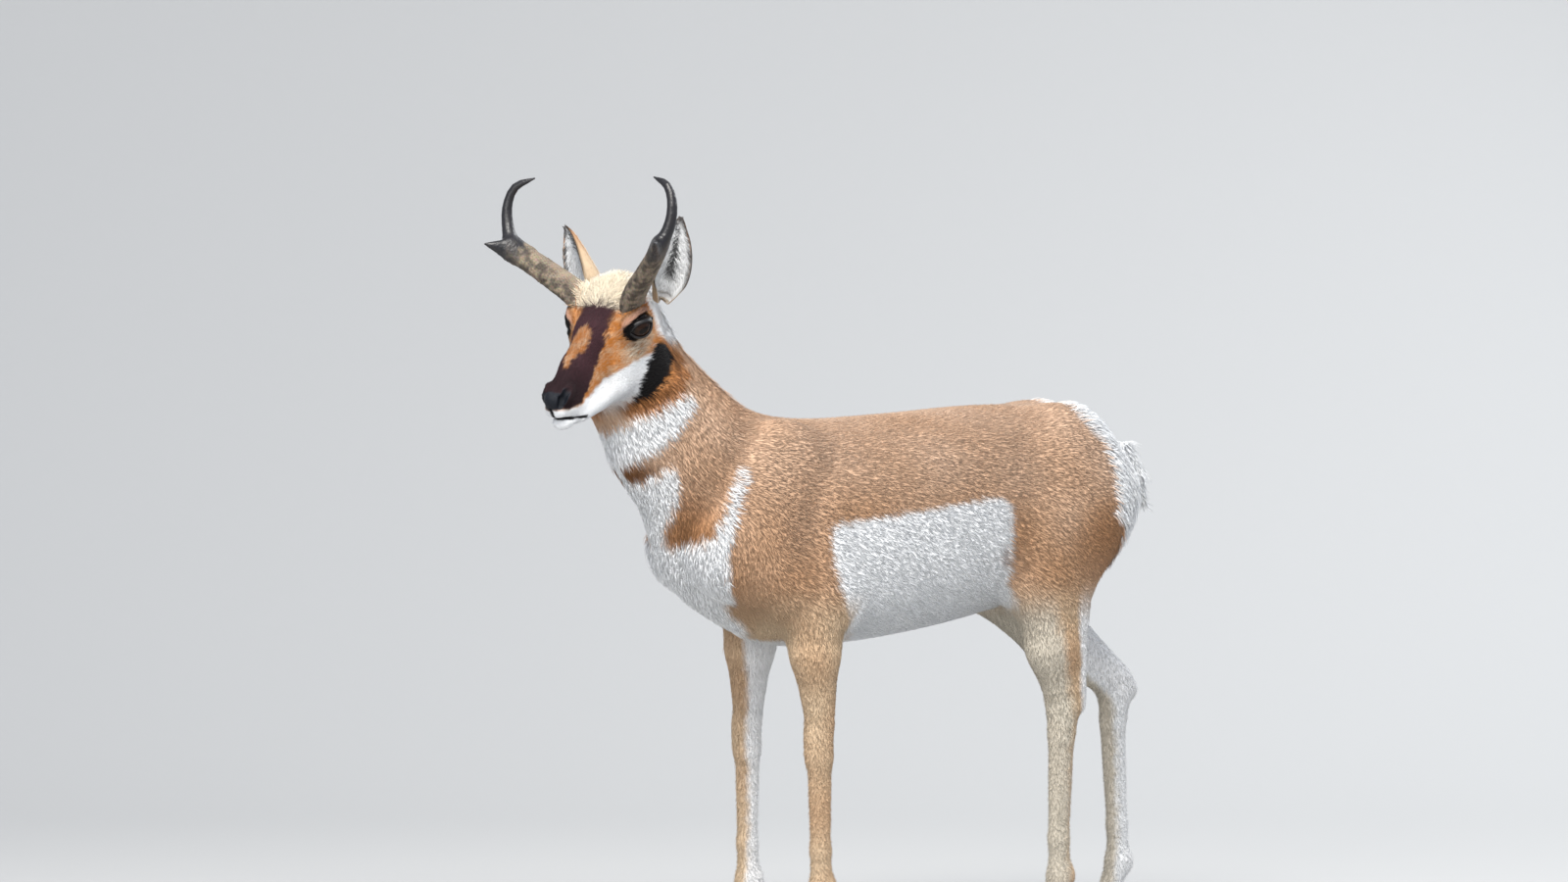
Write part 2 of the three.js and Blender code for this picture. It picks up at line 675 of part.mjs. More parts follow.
function clawSolid(toe, y, outward) {
  const rings = [0, 0.12, 0.5, 1].map((t) => {
    const front = toe - (HOOF.lean - 3) * t - (t === 0 ? 3 : 0);
    const heel = toe - HOOF.length - 3 * t + (t === 0 ? 3 : 0);
    const width = HOOF.width * mix(1, 0.88, t);
    const sides = 10;
    return Array.from({ length: sides }, (_, j) => {
      const angle = (2 * Math.PI * j) / sides;
      const forward = Math.cos(angle);
      const x = mix(heel, front, (forward + 1) / 2);
      const out = Math.sin(angle) * (1 - 0.4 * Math.max(forward, 0) ** 2);
      const across = out > 0 ? out * width * 0.75 : out * width * 0.25;
      return [x, y + outward * across, t * crownHeight(x, toe)];
    });
  });
  return solidOf(sweep(rings));
}

// Parts the flesh of one region from the whole
function fleshSolid(low, high, cell, place) {
  return solidOf(surfaceNet(flesh, low, high, cell, place));
}

const unit = (v) => new THREE.Vector3(...v).normalize().toArray();
const dot = (a, b) => a[0] * b[0] + a[1] * b[1] + a[2] * b[2];

// The head is what lies in front of the nape and above the throat, by this outline of its side view
const HEAD_OUTLINE = [
  [-108, 60],
  [-26, -124],
  [240, -96],
  [240, 130],
  [-108, 130],
];

function headBlock(shrink) {
  const outline = new THREE.Shape(HEAD_OUTLINE.map(([x, z]) => new THREE.Vector2(x, z)));
  const prism = new THREE.ExtrudeGeometry(outline, { depth: 300, bevelEnabled: false });
  prism.rotateX(Math.PI / 2);
  prism.translate(shrink, 150, 0.5 * shrink);
  return solidOf(prism.applyMatrix4(headPlace));
}

// Planes that part the nodes: a point on the plane, and the direction of the part that lies beyond it
const NECK_CUT = { point: [262, 0, 885], toward: unit([0.76, 0, 0.65]) };
const KNEE_CUT = 305;
const HOCK_CUT = 325;

const beyond = (solid, { point, toward }) => solid.trimByPlane(toward, dot(point, toward) + GAP / 2);
const before = (solid, { point, toward }) =>
  solid.trimByPlane(
    toward.map((value) => -value),
    -dot(point, toward) + GAP / 2,
  );

// Where a leg leaves the trunk: a box outside the chest or groin and below the elbow or stifle
const LEG_CUT = { foreleg: 532, hindleg: 588, chest: 46, groin: 30, clear: 66, side: 210 };

function legBox(kind, joints, side) {
  const isFore = kind === "foreleg";
  const inner = isFore ? LEG_CUT.chest : LEG_CUT.groin;
  const rear = isFore ? joints.elbow[0] - LEG_CUT.clear : -560;
  const front = (isFore ? joints.elbow[0] : joints.stifle[0]) + LEG_CUT.clear;
  const near = Math.min(inner * side, LEG_CUT.side * side);
  const far = Math.max(inner * side, LEG_CUT.side * side);
  return [
    [rear, near, -60],
    [front, far, LEG_CUT[kind]],
  ];
}

// A repeatable random number from 0 to 1
function seeded(seed) {
  let state = seed;
  return () => {
    state = (state * 16807) % 2147483647;
    return state / 2147483647;
  };
}

// The slanted plane of a hoof's crown, higher at the toe than at the heel
function crown(toe) {
  const slope = (HOOF.toe - HOOF.heel) / (HOOF.length - HOOF.lean);
  return { point: [toe, 0, crownHeight(toe, toe) + GAP], toward: unit([-slope, 0, 1]) };
}

// Long hair: the sizes of each kind's locks, and how far their tips stand off the flesh
const LOCK_SUNK = 5;
const LOCK_TAPER = [
  { t: 0, width: 0.8, thick: 1, rise: 0 },
  { t: 0.3, width: 1, thick: 1, rise: 0.55 },
  { t: 0.62, width: 0.72, thick: 0.7, rise: 0.8 },
  { t: 1, width: 0.06, thick: 0.2, rise: 1 },
];
const CROWN_HAIR = { length: 30, width: 18, thick: 5, lift: 4 };
const NAPE_HAIR = { length: 38, width: 21, thick: 7, lift: 7 };
const RUMP_HAIR = { length: 50, width: 32, thick: 8, lift: 8 };

// One flat lock: its middle line keeps to the flesh as seen from a point inside it, sunk at the root and free at
// the tip, and it tapers along its lie
function lock(inside, outward, lie, { length, width, thick, lift }, draw) {
  const out = new THREE.Vector3(...outward).normalize();
  const along = new THREE.Vector3(...lie).addScaledVector(out, -out.dot(new THREE.Vector3(...lie))).normalize();
  const across = new THREE.Vector3().crossVectors(out, along);
  const reach = length * mix(0.88, 1.15, draw());
  const rings = LOCK_TAPER.map((share) => {
    const middle = new THREE.Vector3(...inside).addScaledVector(along, reach * share.t);
    while (flesh(...middle.toArray()) < 0) middle.add(out);
    middle.addScaledVector(out, mix(-LOCK_SUNK, lift, share.rise));
    const half = (width / 2) * share.width;
    const depth = (thick / 2) * share.thick;
    return [[1, 0], [0, 1], [-1, 0], [0, -1]].map(([u, v]) =>
      middle.clone().addScaledVector(across, u * half).addScaledVector(out, v * depth).toArray(),
    );
  });
  return solidOf(sweep(rings));
}

const turned = (v) => new THREE.Vector3(...v).transformDirection(headPlace).toArray();
const placed = (v) => new THREE.Vector3(...v).applyMatrix4(headPlace).toArray();

// The crown tuft lies back between the horns, in rows from a point inside the skull
const CROWN_ROWS = [-8, -30, -52, -74];
const CROWN_COLUMNS = [-15, 0, 15];

function crownLocks() {
  const draw = seeded(11);
  return CROWN_ROWS.flatMap((x) =>
    CROWN_COLUMNS.map((y) =>
      lock(placed([x + 4 * draw(), y, 10]), turned([0.1, y / 60, 1]), turned([-1, y / 30, 0]), CROWN_HAIR, draw),
    ),
  );
}

// The mane runs down the nape in one row, from inside the neck
const NAPE_START = [475, 10, 1005];
const NAPE_END = [329, 0, 883];
const NAPE_COUNT = 9;

function napeLocks() {
  const draw = seeded(12);
  return Array.from({ length: NAPE_COUNT }, (_, i) => {
    const [x, y, z] = between(NAPE_START, NAPE_END, i / (NAPE_COUNT - 1));
    const sway = draw() - 0.5;
    return lock([x, y + 6 * sway, z], [-0.62, 0, 0.78], [-0.75, 0.3 * sway, -0.66], NAPE_HAIR, draw);
  });
}

// The long white hair of the rump, as pairs from points inside the haunches
const RUMP_ROOTS = [
  [-304, 38, 836],
  [-346, 56, 796],
  [-366, 38, 764],
  [-350, 70, 720],
  [-366, 34, 696],
  [-336, 70, 664],
];

function rumpLocks() {
  const draw = seeded(13);
  return RUMP_ROOTS.flatMap(([x, y, z]) =>
    [1, -1].map((side) => lock([x, y * side, z], [-0.75, 0.45 * side, 0.42], [-0.25, 0.45 * side, -0.85], RUMP_HAIR, draw)),
  );
}

const joined = (solid, locks) => locks.reduce((sum, each) => sum.add(each), solid);

const group = new THREE.Group();
const COAT = 0xc08a55;
const WHITE = 0xe9e4dc;
const DARK = 0x2a211d;

function addNode(name, solid, colour = COAT, roughness = 0.9) {
  group.add(nodeMesh(name, solid, colour, roughness));
}

// Torso, with the neck and the legs parted from it
const torsoSkin = surfaceNet(flesh, [-520, -210, 440], [470, 210, 960], [38, 30, 33.5]);
let torso = before(joined(solidOf(torsoSkin), rumpLocks()), NECK_CUT);
for (const [name, side] of Object.entries(SIDES)) {
  torso = torso.subtract(block(...legBox("foreleg", FORELEGS[name], side), GAP / 2));
  torso = torso.subtract(block(...legBox("hindleg", HINDLEGS[name], side), GAP / 2));
}
addNode("torso", torso);

// Tail
const tailOnly = surfaceNet(tail, [-540, -40, 690], [-430, 40, 850], [15, 15, 20]);
addNode("tail", solidOf(tailOnly).subtract(solidOf(grown(torsoSkin, GAP))), WHITE);

// Neck
const neckSkin = surfaceNet(flesh, [200, -150, 560], [640, 170, 1180], [25, 20, 25]);
const neckPart = beyond(joined(solidOf(neckSkin), napeLocks()), NECK_CUT).subtract(headBlock(0));
addNode("neck", neckPart);

// Head, on a lattice of its own
const HEAD_LOW = [-190, -100, -150];
const HEAD_HIGH = [230, 100, 90];
const HEAD_CELL = [[12, [-24, 24, 8], [156, 216, 8]], 9.5, [11, [-77, 33, 8.5]]];
const headSkin = surfaceNet(flesh, HEAD_LOW, HEAD_HIGH, HEAD_CELL, headPlace);
const headShell = solidOf(grown(headSkin, GAP)).add(solidOf(grown(neckSkin, GAP)));
const clearOfHorns = (solid) => solid.subtract(hornSolid(1, 2 * GAP)).subtract(hornSolid(-1, 2 * GAP));
let headPart = joined(solidOf(headSkin), crownLocks().map(clearOfHorns)).intersect(headBlock(GAP));
for (const [name, side] of Object.entries(SIDES)) {
  headPart = headPart.subtract(eyeOpening(side)).subtract(eyeBall(side, EYE_RADIUS + GAP, 14, 9));
  headPart = headPart.subtract(nostril(side)).subtract(mouthSlit(side));
  addNode(`eye_${name}`, eyeBall(side, EYE_RADIUS, 14, 9), DARK, 0.1);
  addNode(`horn_${name}`, hornSolid(side).subtract(headShell), DARK, 0.5);
  addNode(`ear_${name}`, earSolid(side).subtract(headShell), COAT);
}
addNode("head", headPart);

// Legs, from the trunk down to the hooves
for (const [name, side] of Object.entries(SIDES)) {
  const fore = FORELEGS[name];
  const hind = HINDLEGS[name];
  const rows = [
    ["foreleg", fore, [17, 15, 34], KNEE_CUT],
    ["hindleg", hind, [22, 18, 29], HOCK_CUT],
  ];
  for (const [kind, joints, cell, cut] of rows) {
    const [low, high] = legBox(kind, joints, side);
    const upperLow = [low[0], low[1] - (side > 0 ? 30 : 0), cut - 40];
    const upperHigh = [high[0] + 20, high[1] + (side < 0 ? 30 : 0), high[2] + 40];
    let upper = fleshSolid(upperLow, upperHigh, cell).intersect(block(low, high, -GAP / 2));
    upper = beyond(upper, { point: [0, 0, cut], toward: [0, 0, 1] });
    addNode(`${kind}_${name}`, upper);

    const y = joints.fetlock[1] * side;
    const knee = kind === "foreleg" ? joints.knee : joints.hock;
    const toe = joints.fetlock[0] + TOE_REACH;
    const lowX = Math.min(knee[0], joints.fetlock[0]) - 60;
    let lower = fleshSolid([lowX, y - 60, 5], [toe + 20, y + 60, cut + 40], [10.5, 9.5, 26]);
    lower = before(lower, { point: [0, 0, cut], toward: [0, 0, 1] });
    lower = beyond(lower, crown(toe));
    addNode(`${kind}_shank_${name}`, lower);

    for (const [claw, outward] of [["inner", -side], ["outer", side]]) {
      const clawY = y + outward * (HOOF.width * 0.25 + 1);
      addNode(`hoof_${kind}_${name}_${claw}`, clawSolid(toe, clawY, outward), DARK, 0.5);
    }
  }
}

// The origin is under the middle of the animal's box, on the ground
const box = new THREE.Box3().setFromObject(group);
const middle = box.getCenter(new THREE.Vector3());
group.position.set(-middle.x, -middle.y, 0);

export default group;
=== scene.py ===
"""A still, life-size pronghorn buck: one skin under a coat of solid tufts, with horns, ears and hooves."""
import math

import bmesh
import bpy
import numpy as np
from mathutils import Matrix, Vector


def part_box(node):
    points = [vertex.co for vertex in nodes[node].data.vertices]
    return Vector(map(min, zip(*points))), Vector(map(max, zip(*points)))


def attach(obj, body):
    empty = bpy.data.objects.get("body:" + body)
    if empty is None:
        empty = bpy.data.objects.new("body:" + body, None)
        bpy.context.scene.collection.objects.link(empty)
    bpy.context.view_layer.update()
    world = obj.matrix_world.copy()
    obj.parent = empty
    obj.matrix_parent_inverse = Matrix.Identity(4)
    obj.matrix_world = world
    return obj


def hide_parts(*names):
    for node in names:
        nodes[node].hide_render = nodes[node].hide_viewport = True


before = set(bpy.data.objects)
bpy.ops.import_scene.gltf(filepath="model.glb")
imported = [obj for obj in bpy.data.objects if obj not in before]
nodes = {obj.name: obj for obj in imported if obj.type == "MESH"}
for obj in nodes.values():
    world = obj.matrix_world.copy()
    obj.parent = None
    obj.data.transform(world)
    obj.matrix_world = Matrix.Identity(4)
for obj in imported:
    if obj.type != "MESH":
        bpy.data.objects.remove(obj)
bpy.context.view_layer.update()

# Place of the animal
# Every shape below is worked out in millimetres in the animal's own axes, forward, left and up. The frame
# carries the same animal moved sideways, and the two claws of a forefoot, flat on the floor, say how far.
TOE_TIP = np.array([224.0, 84.0])
claw_low, claw_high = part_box("hoof_foreleg_left_inner")
outer_low, outer_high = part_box("hoof_foreleg_left_outer")
SHIFT = np.array([
    1000 * claw_high.x - TOE_TIP[0],
    500 * (claw_low.y + outer_high.y) - TOE_TIP[1],
    0.0,
])


def metres(points):
    """Points in millimetres of the animal's axes as metres of the frame: moved sideways, then divided."""
    return (np.asarray(points, float) + SHIFT) / 1000


# Camera, floor and light
# A long lens looks level across the animal's left side, from a little in front. The floor and the wall
# behind are one pale sheet, and the light is a soft sky with a wide lamp overhead.
VIEW_YAW, VIEW_LIFT = math.radians(25), math.radians(3)
VIEW_TARGET, VIEW_DISTANCE = [175, 0, 829], 14000
SENSOR_WIDTH, FOCAL_SHARE = 36, 8820 / 1600
back = np.array([
    math.sin(VIEW_YAW) * math.cos(VIEW_LIFT),
    math.cos(VIEW_YAW) * math.cos(VIEW_LIFT),
    math.sin(VIEW_LIFT),
])
camera_data = bpy.data.cameras.new("camera")
camera_data.sensor_width = SENSOR_WIDTH
camera_data.lens = SENSOR_WIDTH * FOCAL_SHARE
camera_data.clip_end = 100
camera = bpy.data.objects.new("camera", camera_data)
bpy.context.scene.collection.objects.link(camera)
camera.location = Vector(metres(VIEW_TARGET + VIEW_DISTANCE * back))
camera.rotation_euler = Vector(back).to_track_quat("Z", "Y").to_euler()
bpy.context.scene.camera = camera
bpy.context.scene.view_settings.view_transform = "Standard"


def mesh_object(name, points, faces, smooth=True):
    """An object from an array of points and an array of faces that all have the same number of corners."""
    points = np.asarray(points, np.float32)
    faces = np.asarray(faces, np.int32)
    corners = faces.shape[1]
    data = bpy.data.meshes.new(name)
    data.vertices.add(len(points))
    data.vertices.foreach_set("co", points.ravel())
    data.loops.add(faces.size)
    data.loops.foreach_set("vertex_index", faces.ravel())
    data.polygons.add(len(faces))
    data.polygons.foreach_set("loop_start", np.arange(0, faces.size, corners, dtype=np.int32))
    data.polygons.foreach_set("use_smooth", np.full(len(faces), smooth))
    data.update(calc_edges=True)
    obj = bpy.data.objects.new(name, data)
    bpy.context.scene.collection.objects.link(obj)
    return obj


def plain_material(name, colour, roughness):
    """A Principled material of one colour and roughness, its node tree and its shader."""
    material = bpy.data.materials.new(name)
    material.use_nodes = True
    shader = material.node_tree.nodes["Principled BSDF"]
    shader.inputs["Base Color"].default_value = (*colour, 1)
    shader.inputs["Roughness"].default_value = roughness
    return material, material.node_tree, shader


def shader_node(tree, kind, **values):
    """A node in a material's tree; each value goes to the input of its name, with _ for a space."""
    node = tree.nodes.new("ShaderNode" + kind)
    for name, value in values.items():
        node.inputs[name.replace("_", " ")].default_value = value
    return node


def stored(tree, name):
    """A node that reads what a mesh stores under a name."""
    node = shader_node(tree, "Attribute")
    node.attribute_name = name
    return node


def link(tree, *pairs):
    """Joins outputs to inputs, each pair given as output node, its socket, input node, its socket."""
    for start, out, end, into in pairs:
        tree.links.new(start.outputs[out], end.inputs[into])


def sweep_sheet(width, reach, height, bend):
    """A floor that curves up into a wall: straight, a quarter turn of radius bend, and straight again."""
    turn = np.linspace(0, math.pi / 2, 24)
    out = np.concatenate([[-reach], bend * np.sin(turn), [bend]])
    up = np.concatenate([[0], bend * (1 - np.cos(turn)), [height]])
    rows = np.stack([np.stack([np.full_like(out, side), -out, up], 1) for side in (-width, width)], 1)
    index = np.arange(len(out) - 1) * 2
    return rows.reshape(-1, 3), np.stack([index, index + 1, index + 3, index + 2], 1)


SHEET_BEHIND = 2.2
sheet_points, sheet_faces = sweep_sheet(width=14, reach=16, height=9, bend=2.5)
yaw_sin, yaw_cos = math.sin(VIEW_YAW), math.cos(VIEW_YAW)
sheet_points = sheet_points @ np.array([[yaw_cos, -yaw_sin, 0], [yaw_sin, yaw_cos, 0], [0, 0, 1]])
sheet_points -= SHEET_BEHIND * np.array([yaw_sin, yaw_cos, 0])
floor = mesh_object("floor", sheet_points, sheet_faces)
floor_material, floor_tree, floor_shader = plain_material("floor_paint", (0.44, 0.44, 0.435), 0.85)
floor.data.materials.append(floor_material)

world = bpy.data.worlds.new("sky")
bpy.context.scene.world = world
world.use_nodes = True
sky = world.node_tree.nodes["Background"].inputs
sky["Color"].default_value, sky["Strength"].default_value = (0.80, 0.87, 1.0, 1), 0.82


def area_light(name, place, aim, size, power, colour):
    """A square lamp that faces a point."""
    data = bpy.data.lights.new(name, "AREA")
    data.shape = "SQUARE"
    data.size, data.energy, data.color = size, power, colour
    lamp = bpy.data.objects.new(name, data)
    lamp.location = place
    lamp.rotation_euler = (Vector(place) - Vector(aim)).to_track_quat("Z", "Y").to_euler()
    bpy.context.scene.collection.objects.link(lamp)


LAMPS = {
    "lamp_above": ((1.2, 2.4, 4.6), (0, 0, 0.6), 2.6, 380, (1.0, 0.97, 0.92)),
    "lamp_front": ((4.2, 3.4, 2.4), (0.3, 0, 0.7), 2.6, 95, (1.0, 0.98, 0.95)),
    "lamp_rear": ((-3.6, -1.6, 3.2), (-0.2, 0, 0.7), 2.2, 100, (0.95, 0.98, 1.0)),
}
for name, values in LAMPS.items():
    area_light(name, *values)

# The flesh
# A field over space, under 0 inside the animal, built of the same rounded shapes as the solids: a trunk, a
# neck, a head in its own turned axes, four legs and a tail. The skin lies a coat's depth inside it.
BODY_REAR, BODY_FRONT = -463, 394
EYE_MIDDLE = np.array([516.0, 58.0, 1027.0])
SIDES = {"left": 1, "right": -1}
FORELEGS = {
    "left": ([160, 96, 560], [150, 86, 338], [147, 84, 110]),
    "right": ([192, 96, 560], [199, 86, 340], [200, 84, 110]),
}
HINDLEGS = {
    "left": ([-236, 102, 596], [-290, 86, 376], [-284, 84, 112]),
    "right": ([-236, 102, 590], [-473, 86, 380], [-477, 84, 112]),
}
TOE_REACH = 80
HOOF = dict(length=66, width=23, toe=46, heel=25, lean=34)


def rotation(roll, pitch, yaw):
    """Turn about forward, then left, then up, as one matrix."""
    cr, sr, cp, sp, cy, sy = [f(a) for a in (roll, pitch, yaw) for f in (math.cos, math.sin)]
    about_x = np.array([[1, 0, 0], [0, cr, -sr], [0, sr, cr]])
    about_y = np.array([[cp, 0, sp], [0, 1, 0], [-sp, 0, cp]])
    about_z = np.array([[cy, -sy, 0], [sy, cy, 0], [0, 0, 1]])
    return about_z @ about_y @ about_x


HEAD_TURN = rotation(math.radians(-3), math.radians(38), math.radians(32))
HORN_TURN = HEAD_TURN @ rotation(math.radians(4.5), 0, 0)


def to_head(p):
    """Head axes of points: forward to the nose, left and up, from the midpoint between the eyes."""
    return (p - EYE_MIDDLE) @ HEAD_TURN


def from_head(p, turn=HEAD_TURN):
    """The animal's axes of points given in the head's."""
    return np.asarray(p, float) @ turn.T + EYE_MIDDLE


def one_side(p):
    """Head axes of points with both sides of the head laid onto the left: (count, 3) and its columns."""
    m = to_head(p)
    m[:, 1] = np.abs(m[:, 1])
    return m, *m.T


def unit(v):
    """Vectors divided by their lengths."""
    return v / (np.linalg.norm(v, axis=-1, keepdims=True) + 1e-9)


def smooth_min(a, b, k):
    """The smaller of two distances, rounded where they are closer than k."""
    overlap = np.maximum(k - np.abs(a - b), 0) / k
    return np.minimum(a, b) - overlap * overlap * k / 4


def smooth_max(a, b, k):
    """The larger of two distances, rounded where they are closer than k."""
    return -smooth_min(-a, -b, k)


def step(low, high, value):
    """0 below low, 1 above high, and a smooth cubic between them."""
    t = np.clip((value - low) / (high - low), 0, 1)
    return t * t * (3 - 2 * t)


def ellipsoid(centre, radii, pitch=0.0):
    """Distance to an ellipsoid, first order: r (r - 1) / slope, with r its own radius at the point."""
    turn = rotation(0, pitch, 0)
    radii = np.array(radii, float)
    centre = np.array(centre, float)

    def distance(p):
        q = ((p - centre) @ turn) / radii
        reach = np.sqrt((q * q).sum(1)) + 1e-9
        slope = np.sqrt(((q / radii) ** 2).sum(1)) + 1e-9
        return reach * (reach - 1) / slope

    return distance


def limb(joints, flat=1.0, blend=10.0):
    """Distance to a chain of tapered round pieces through [x, y, z, radius], flattened sideways."""
    joints = np.array(joints, float)

    def distance(p):
        nearest = None
        for start, end in zip(joints[:-1], joints[1:]):
            along = end[:3] - start[:3]
            away = p - start[:3]
            t = np.clip(away @ along / (along @ along), 0, 1)
            away = away - t[:, None] * along
            away[:, 1] /= flat
            d = np.sqrt((away * away).sum(1)) - (start[3] + (end[3] - start[3]) * t)
            nearest = d if nearest is None else smooth_min(nearest, d, blend)
        return nearest

    return distance


def stations(rows):
    """A smooth curve through [x, value, value, ...] rows: a cubic with slopes from the neighbours."""
    rows = np.array(rows, float)
    x, values = rows[:, 0], rows[:, 1:]
    ends = np.clip(np.arange(len(x))[:, None] + [-1, 1], 0, len(x) - 1)
    slopes = (values[ends[:, 1]] - values[ends[:, 0]]) / (x[ends[:, 1]] - x[ends[:, 0]])[:, None]

    def read(at):
        i = np.clip(np.searchsorted(x, at) - 1, 0, len(x) - 2)
        span = (x[i + 1] - x[i])[:, None]
        t = np.clip((at - x[i]) / (x[i + 1] - x[i]), 0, 1)[:, None]
        t2, t3 = t * t, t * t * t
        return (
            (2 * t3 - 3 * t2 + 1) * values[i] + (t3 - 2 * t2 + t) * span * slopes[i]
            + (3 * t2 - 2 * t3) * values[i + 1] + (t3 - t2) * span * slopes[i + 1]
        )

    return read


# Back line, belly line and half width along the body
TRUNK = stations([
    [-467, 822, 672, 98], [-396, 859, 606, 122], [-330, 885, 572, 134], [-250, 890, 556, 134],
    [-140, 886, 527, 142], [-20, 877, 505, 152], [90, 872, 492, 149], [190, 872, 488, 132],
    [280, 846, 496, 112], [350, 800, 515, 96], [402, 750, 545, 84],
])
TRUNK_END, TRUNK_SECTION = 4.2, 2.25


def trunk(p):
    """Distance to a barrel whose section is a super-ellipse between the back line and the belly line."""
    middle, half = (BODY_REAR + BODY_FRONT) / 2, (BODY_FRONT - BODY_REAR) / 2
    top, bottom, width = TRUNK(np.clip(p[:, 0], BODY_REAR, BODY_FRONT)).T
    height = (top - bottom) / 2
    total = (
        np.abs(p[:, 1] / width) ** TRUNK_SECTION
        + np.abs((p[:, 2] - (top + bottom) / 2) / height) ** TRUNK_SECTION
        + np.abs((p[:, 0] - middle) / half) ** TRUNK_END
    )
    return (total ** (1 / TRUNK_SECTION) - 1) * np.minimum(width, height) * 0.85


HEAD_SHAPES = [
    (ellipsoid([-42, 0, -10], [58, 54, 44]), 20),
    (ellipsoid([8, 0, 4], [64, 46, 36], 0.14), 24),
    (ellipsoid([-10, 49, 1], [34, 27, 31]), 14),
    (limb([[-26, 38, 10, 20], [-27, 48, 28, 17]]), 10),
    (limb([[40, 0, 2, 34], [110, 0, -1, 26], [168, 0, -6, 21]], 0.9), 20),
    (limb([[50, 0, -30, 38], [118, 0, -30, 31], [166, 0, -26, 25]], 0.84), 18),
    (ellipsoid([6, 33, -50], [66, 21, 50], 0.2), 18),
    (limb([[-20, 26, -82, 27], [60, 21, -77, 22], [150, 10, -58, 15]]), 16),
    (limb([[20, 0, -74, 30], [100, 0, -66, 24], [160, 0, -50, 16]]), 16),
    (ellipsoid([180, 0, -48], [24, 18, 15], -0.25), 8),
    (limb([[150, 0, -34, 22], [188, 0, -20, 17]], 1.15), 8),
    (ellipsoid([184, 0, -3], [20, 18, 19]), 8),
    (ellipsoid([172, 17, 0], [21, 11, 15]), 6),
    (ellipsoid([-58, 0, -48], [50, 44, 62]), 24),
]
NECK = limb(
    [[268, 0, 728, 140], [380, 2, 844, 107], [440, 6, 928, 89], [470, 14, 1000, 76], [478, 22, 1040, 56]],
    0.68, 40)


def near_joint(side):
    """A function that gives [x, y, z, radius] beside a joint of the leg on one side."""
    def point(joint, radius, dx=0, dy=0, dz=0):
        return [joint[0] + dx, (joint[1] + dy) * side, joint[2] + dz, radius]

    return point


def crown_centre(fetlock):
    """The middle of a hoof's crown, where its two claws meet the pastern."""
    toe = fetlock[0] + TOE_REACH
    return [toe - HOOF["lean"] - (HOOF["length"] - HOOF["lean"]) / 2, fetlock[1],
            (HOOF["toe"] + HOOF["heel"]) / 2 - 4]


def between(a, b, t):
    """The point a share t of the way from a to b."""
    return [u + (v - u) * t for u, v in zip(a, b)]


def foot(side, fetlock, radius):
    """The fetlock and the pastern of any leg."""
    point = near_joint(side)
    middle = [fetlock[0] - 3, fetlock[1] * side, fetlock[2] - 2]
    return [
        (ellipsoid(middle, [24, 21 if radius > 19 else 20, 24]), 12),
        (limb([point(fetlock, 19, 0, 0, -6), point(crown_centre(fetlock), radius)], 1.08), 12),
    ]


def foreleg(side, elbow, knee, fetlock):
    """Shoulder, upper arm, triceps, forearm, knee, cannon and foot."""
    point = near_joint(side)
    return [
        (limb([[215, 74 * side, 815, 50], [300, 98 * side, 665, 70]], 0.62, 20), 50),
        (limb([[300, 84 * side, 655, 70], point(elbow, 62, 12, -8, 36)], 0.7, 20), 40),
        (limb([[140, 80 * side, 720, 60], point(elbow, 56, -18, -6, 30)], 0.6, 20), 40),
        (limb([point(elbow, 48, 2, -6, 0), point(elbow, 42, 2, -5, -70), point(knee, 27, 1, 0, 42)],
              0.84, 20), 26),
        (limb([point(knee, 27, 4, 0, 18), point(knee, 26, 3, 0, -12)], 0.9), 14),
        (limb([point(knee, 21, 2, 0, -30), point(fetlock, 17.5, 2, 0, 60), point(fetlock, 20, 0, 0, 8)],
              0.82), 14),
    ] + foot(side, fetlock, 20)


def hindleg(side, stifle, hock, fetlock):
    """Rump, thigh, second thigh, heel cord, hock, cannon and foot."""
    point = near_joint(side)
    cord = between([-308, 84, 600], hock, 0.3)
    return [
        (limb([[-300, 62 * side, 800, 78], [-356, 64 * side, 730, 70]], 0.85, 20), 50),
        (ellipsoid([-288, 78 * side, 700], [104, 64, 140], -0.2), 50),
        (limb([[-262, 82 * side, 690, 78], point(stifle, 54, 4, -12, 10)], 0.72, 20), 40),
        (limb([[-344, 74 * side, 690, 52], [-298, 80 * side, 600, 42]], 0.7, 20), 40),
        (limb([point(stifle, 58, -14, -12, -6), point(between(stifle, hock, 0.5), 44),
               point(hock, 30, 6, 0, 30)], 0.74, 20), 36),
        (limb([[-298, 82 * side, 600, 39], point(cord, 31), point(hock, 15, -26, 0, 16)], 0.7, 12), 34),
        (limb([point(hock, 31, 2, 0, 8), point(hock, 26, 4, 0, -26)], 0.8), 14),
        (limb([point(hock, 23, 5, 0, -44), point(fetlock, 18, 2, 0, 60), point(fetlock, 20, 0, 0, 8)],
              0.8), 14),
    ] + foot(side, fetlock, 19)


TAIL_ROOT, TAIL_TIP = [-445, 0, 804], [-480, 0, 716]
TAIL = limb([[*TAIL_ROOT, 18], [*between(TAIL_ROOT, TAIL_TIP, 0.5), 21], [*TAIL_TIP, 11]], 1.1, 8)
LEG_SHAPES = (
    [shape for name, side in SIDES.items() for shape in foreleg(side, *FORELEGS[name])]
    + [shape for name, side in SIDES.items() for shape in hindleg(side, *HINDLEGS[name])]
)
EYE_RADIUS = 22.5
EYE_PLACE = np.array([-7.0, 54.0, -4.0])
EYE_TURN = 0.55
EYE_COS, EYE_SIN = math.cos(EYE_TURN), math.sin(EYE_TURN)
EYE_OPENING = (20.0, 12.5)
EYE_SLANT = 2.2 / EYE_OPENING[0]
LID_ARC = (EYE_OPENING[0] ** 2 + EYE_OPENING[1] ** 2) / (2 * EYE_OPENING[1])


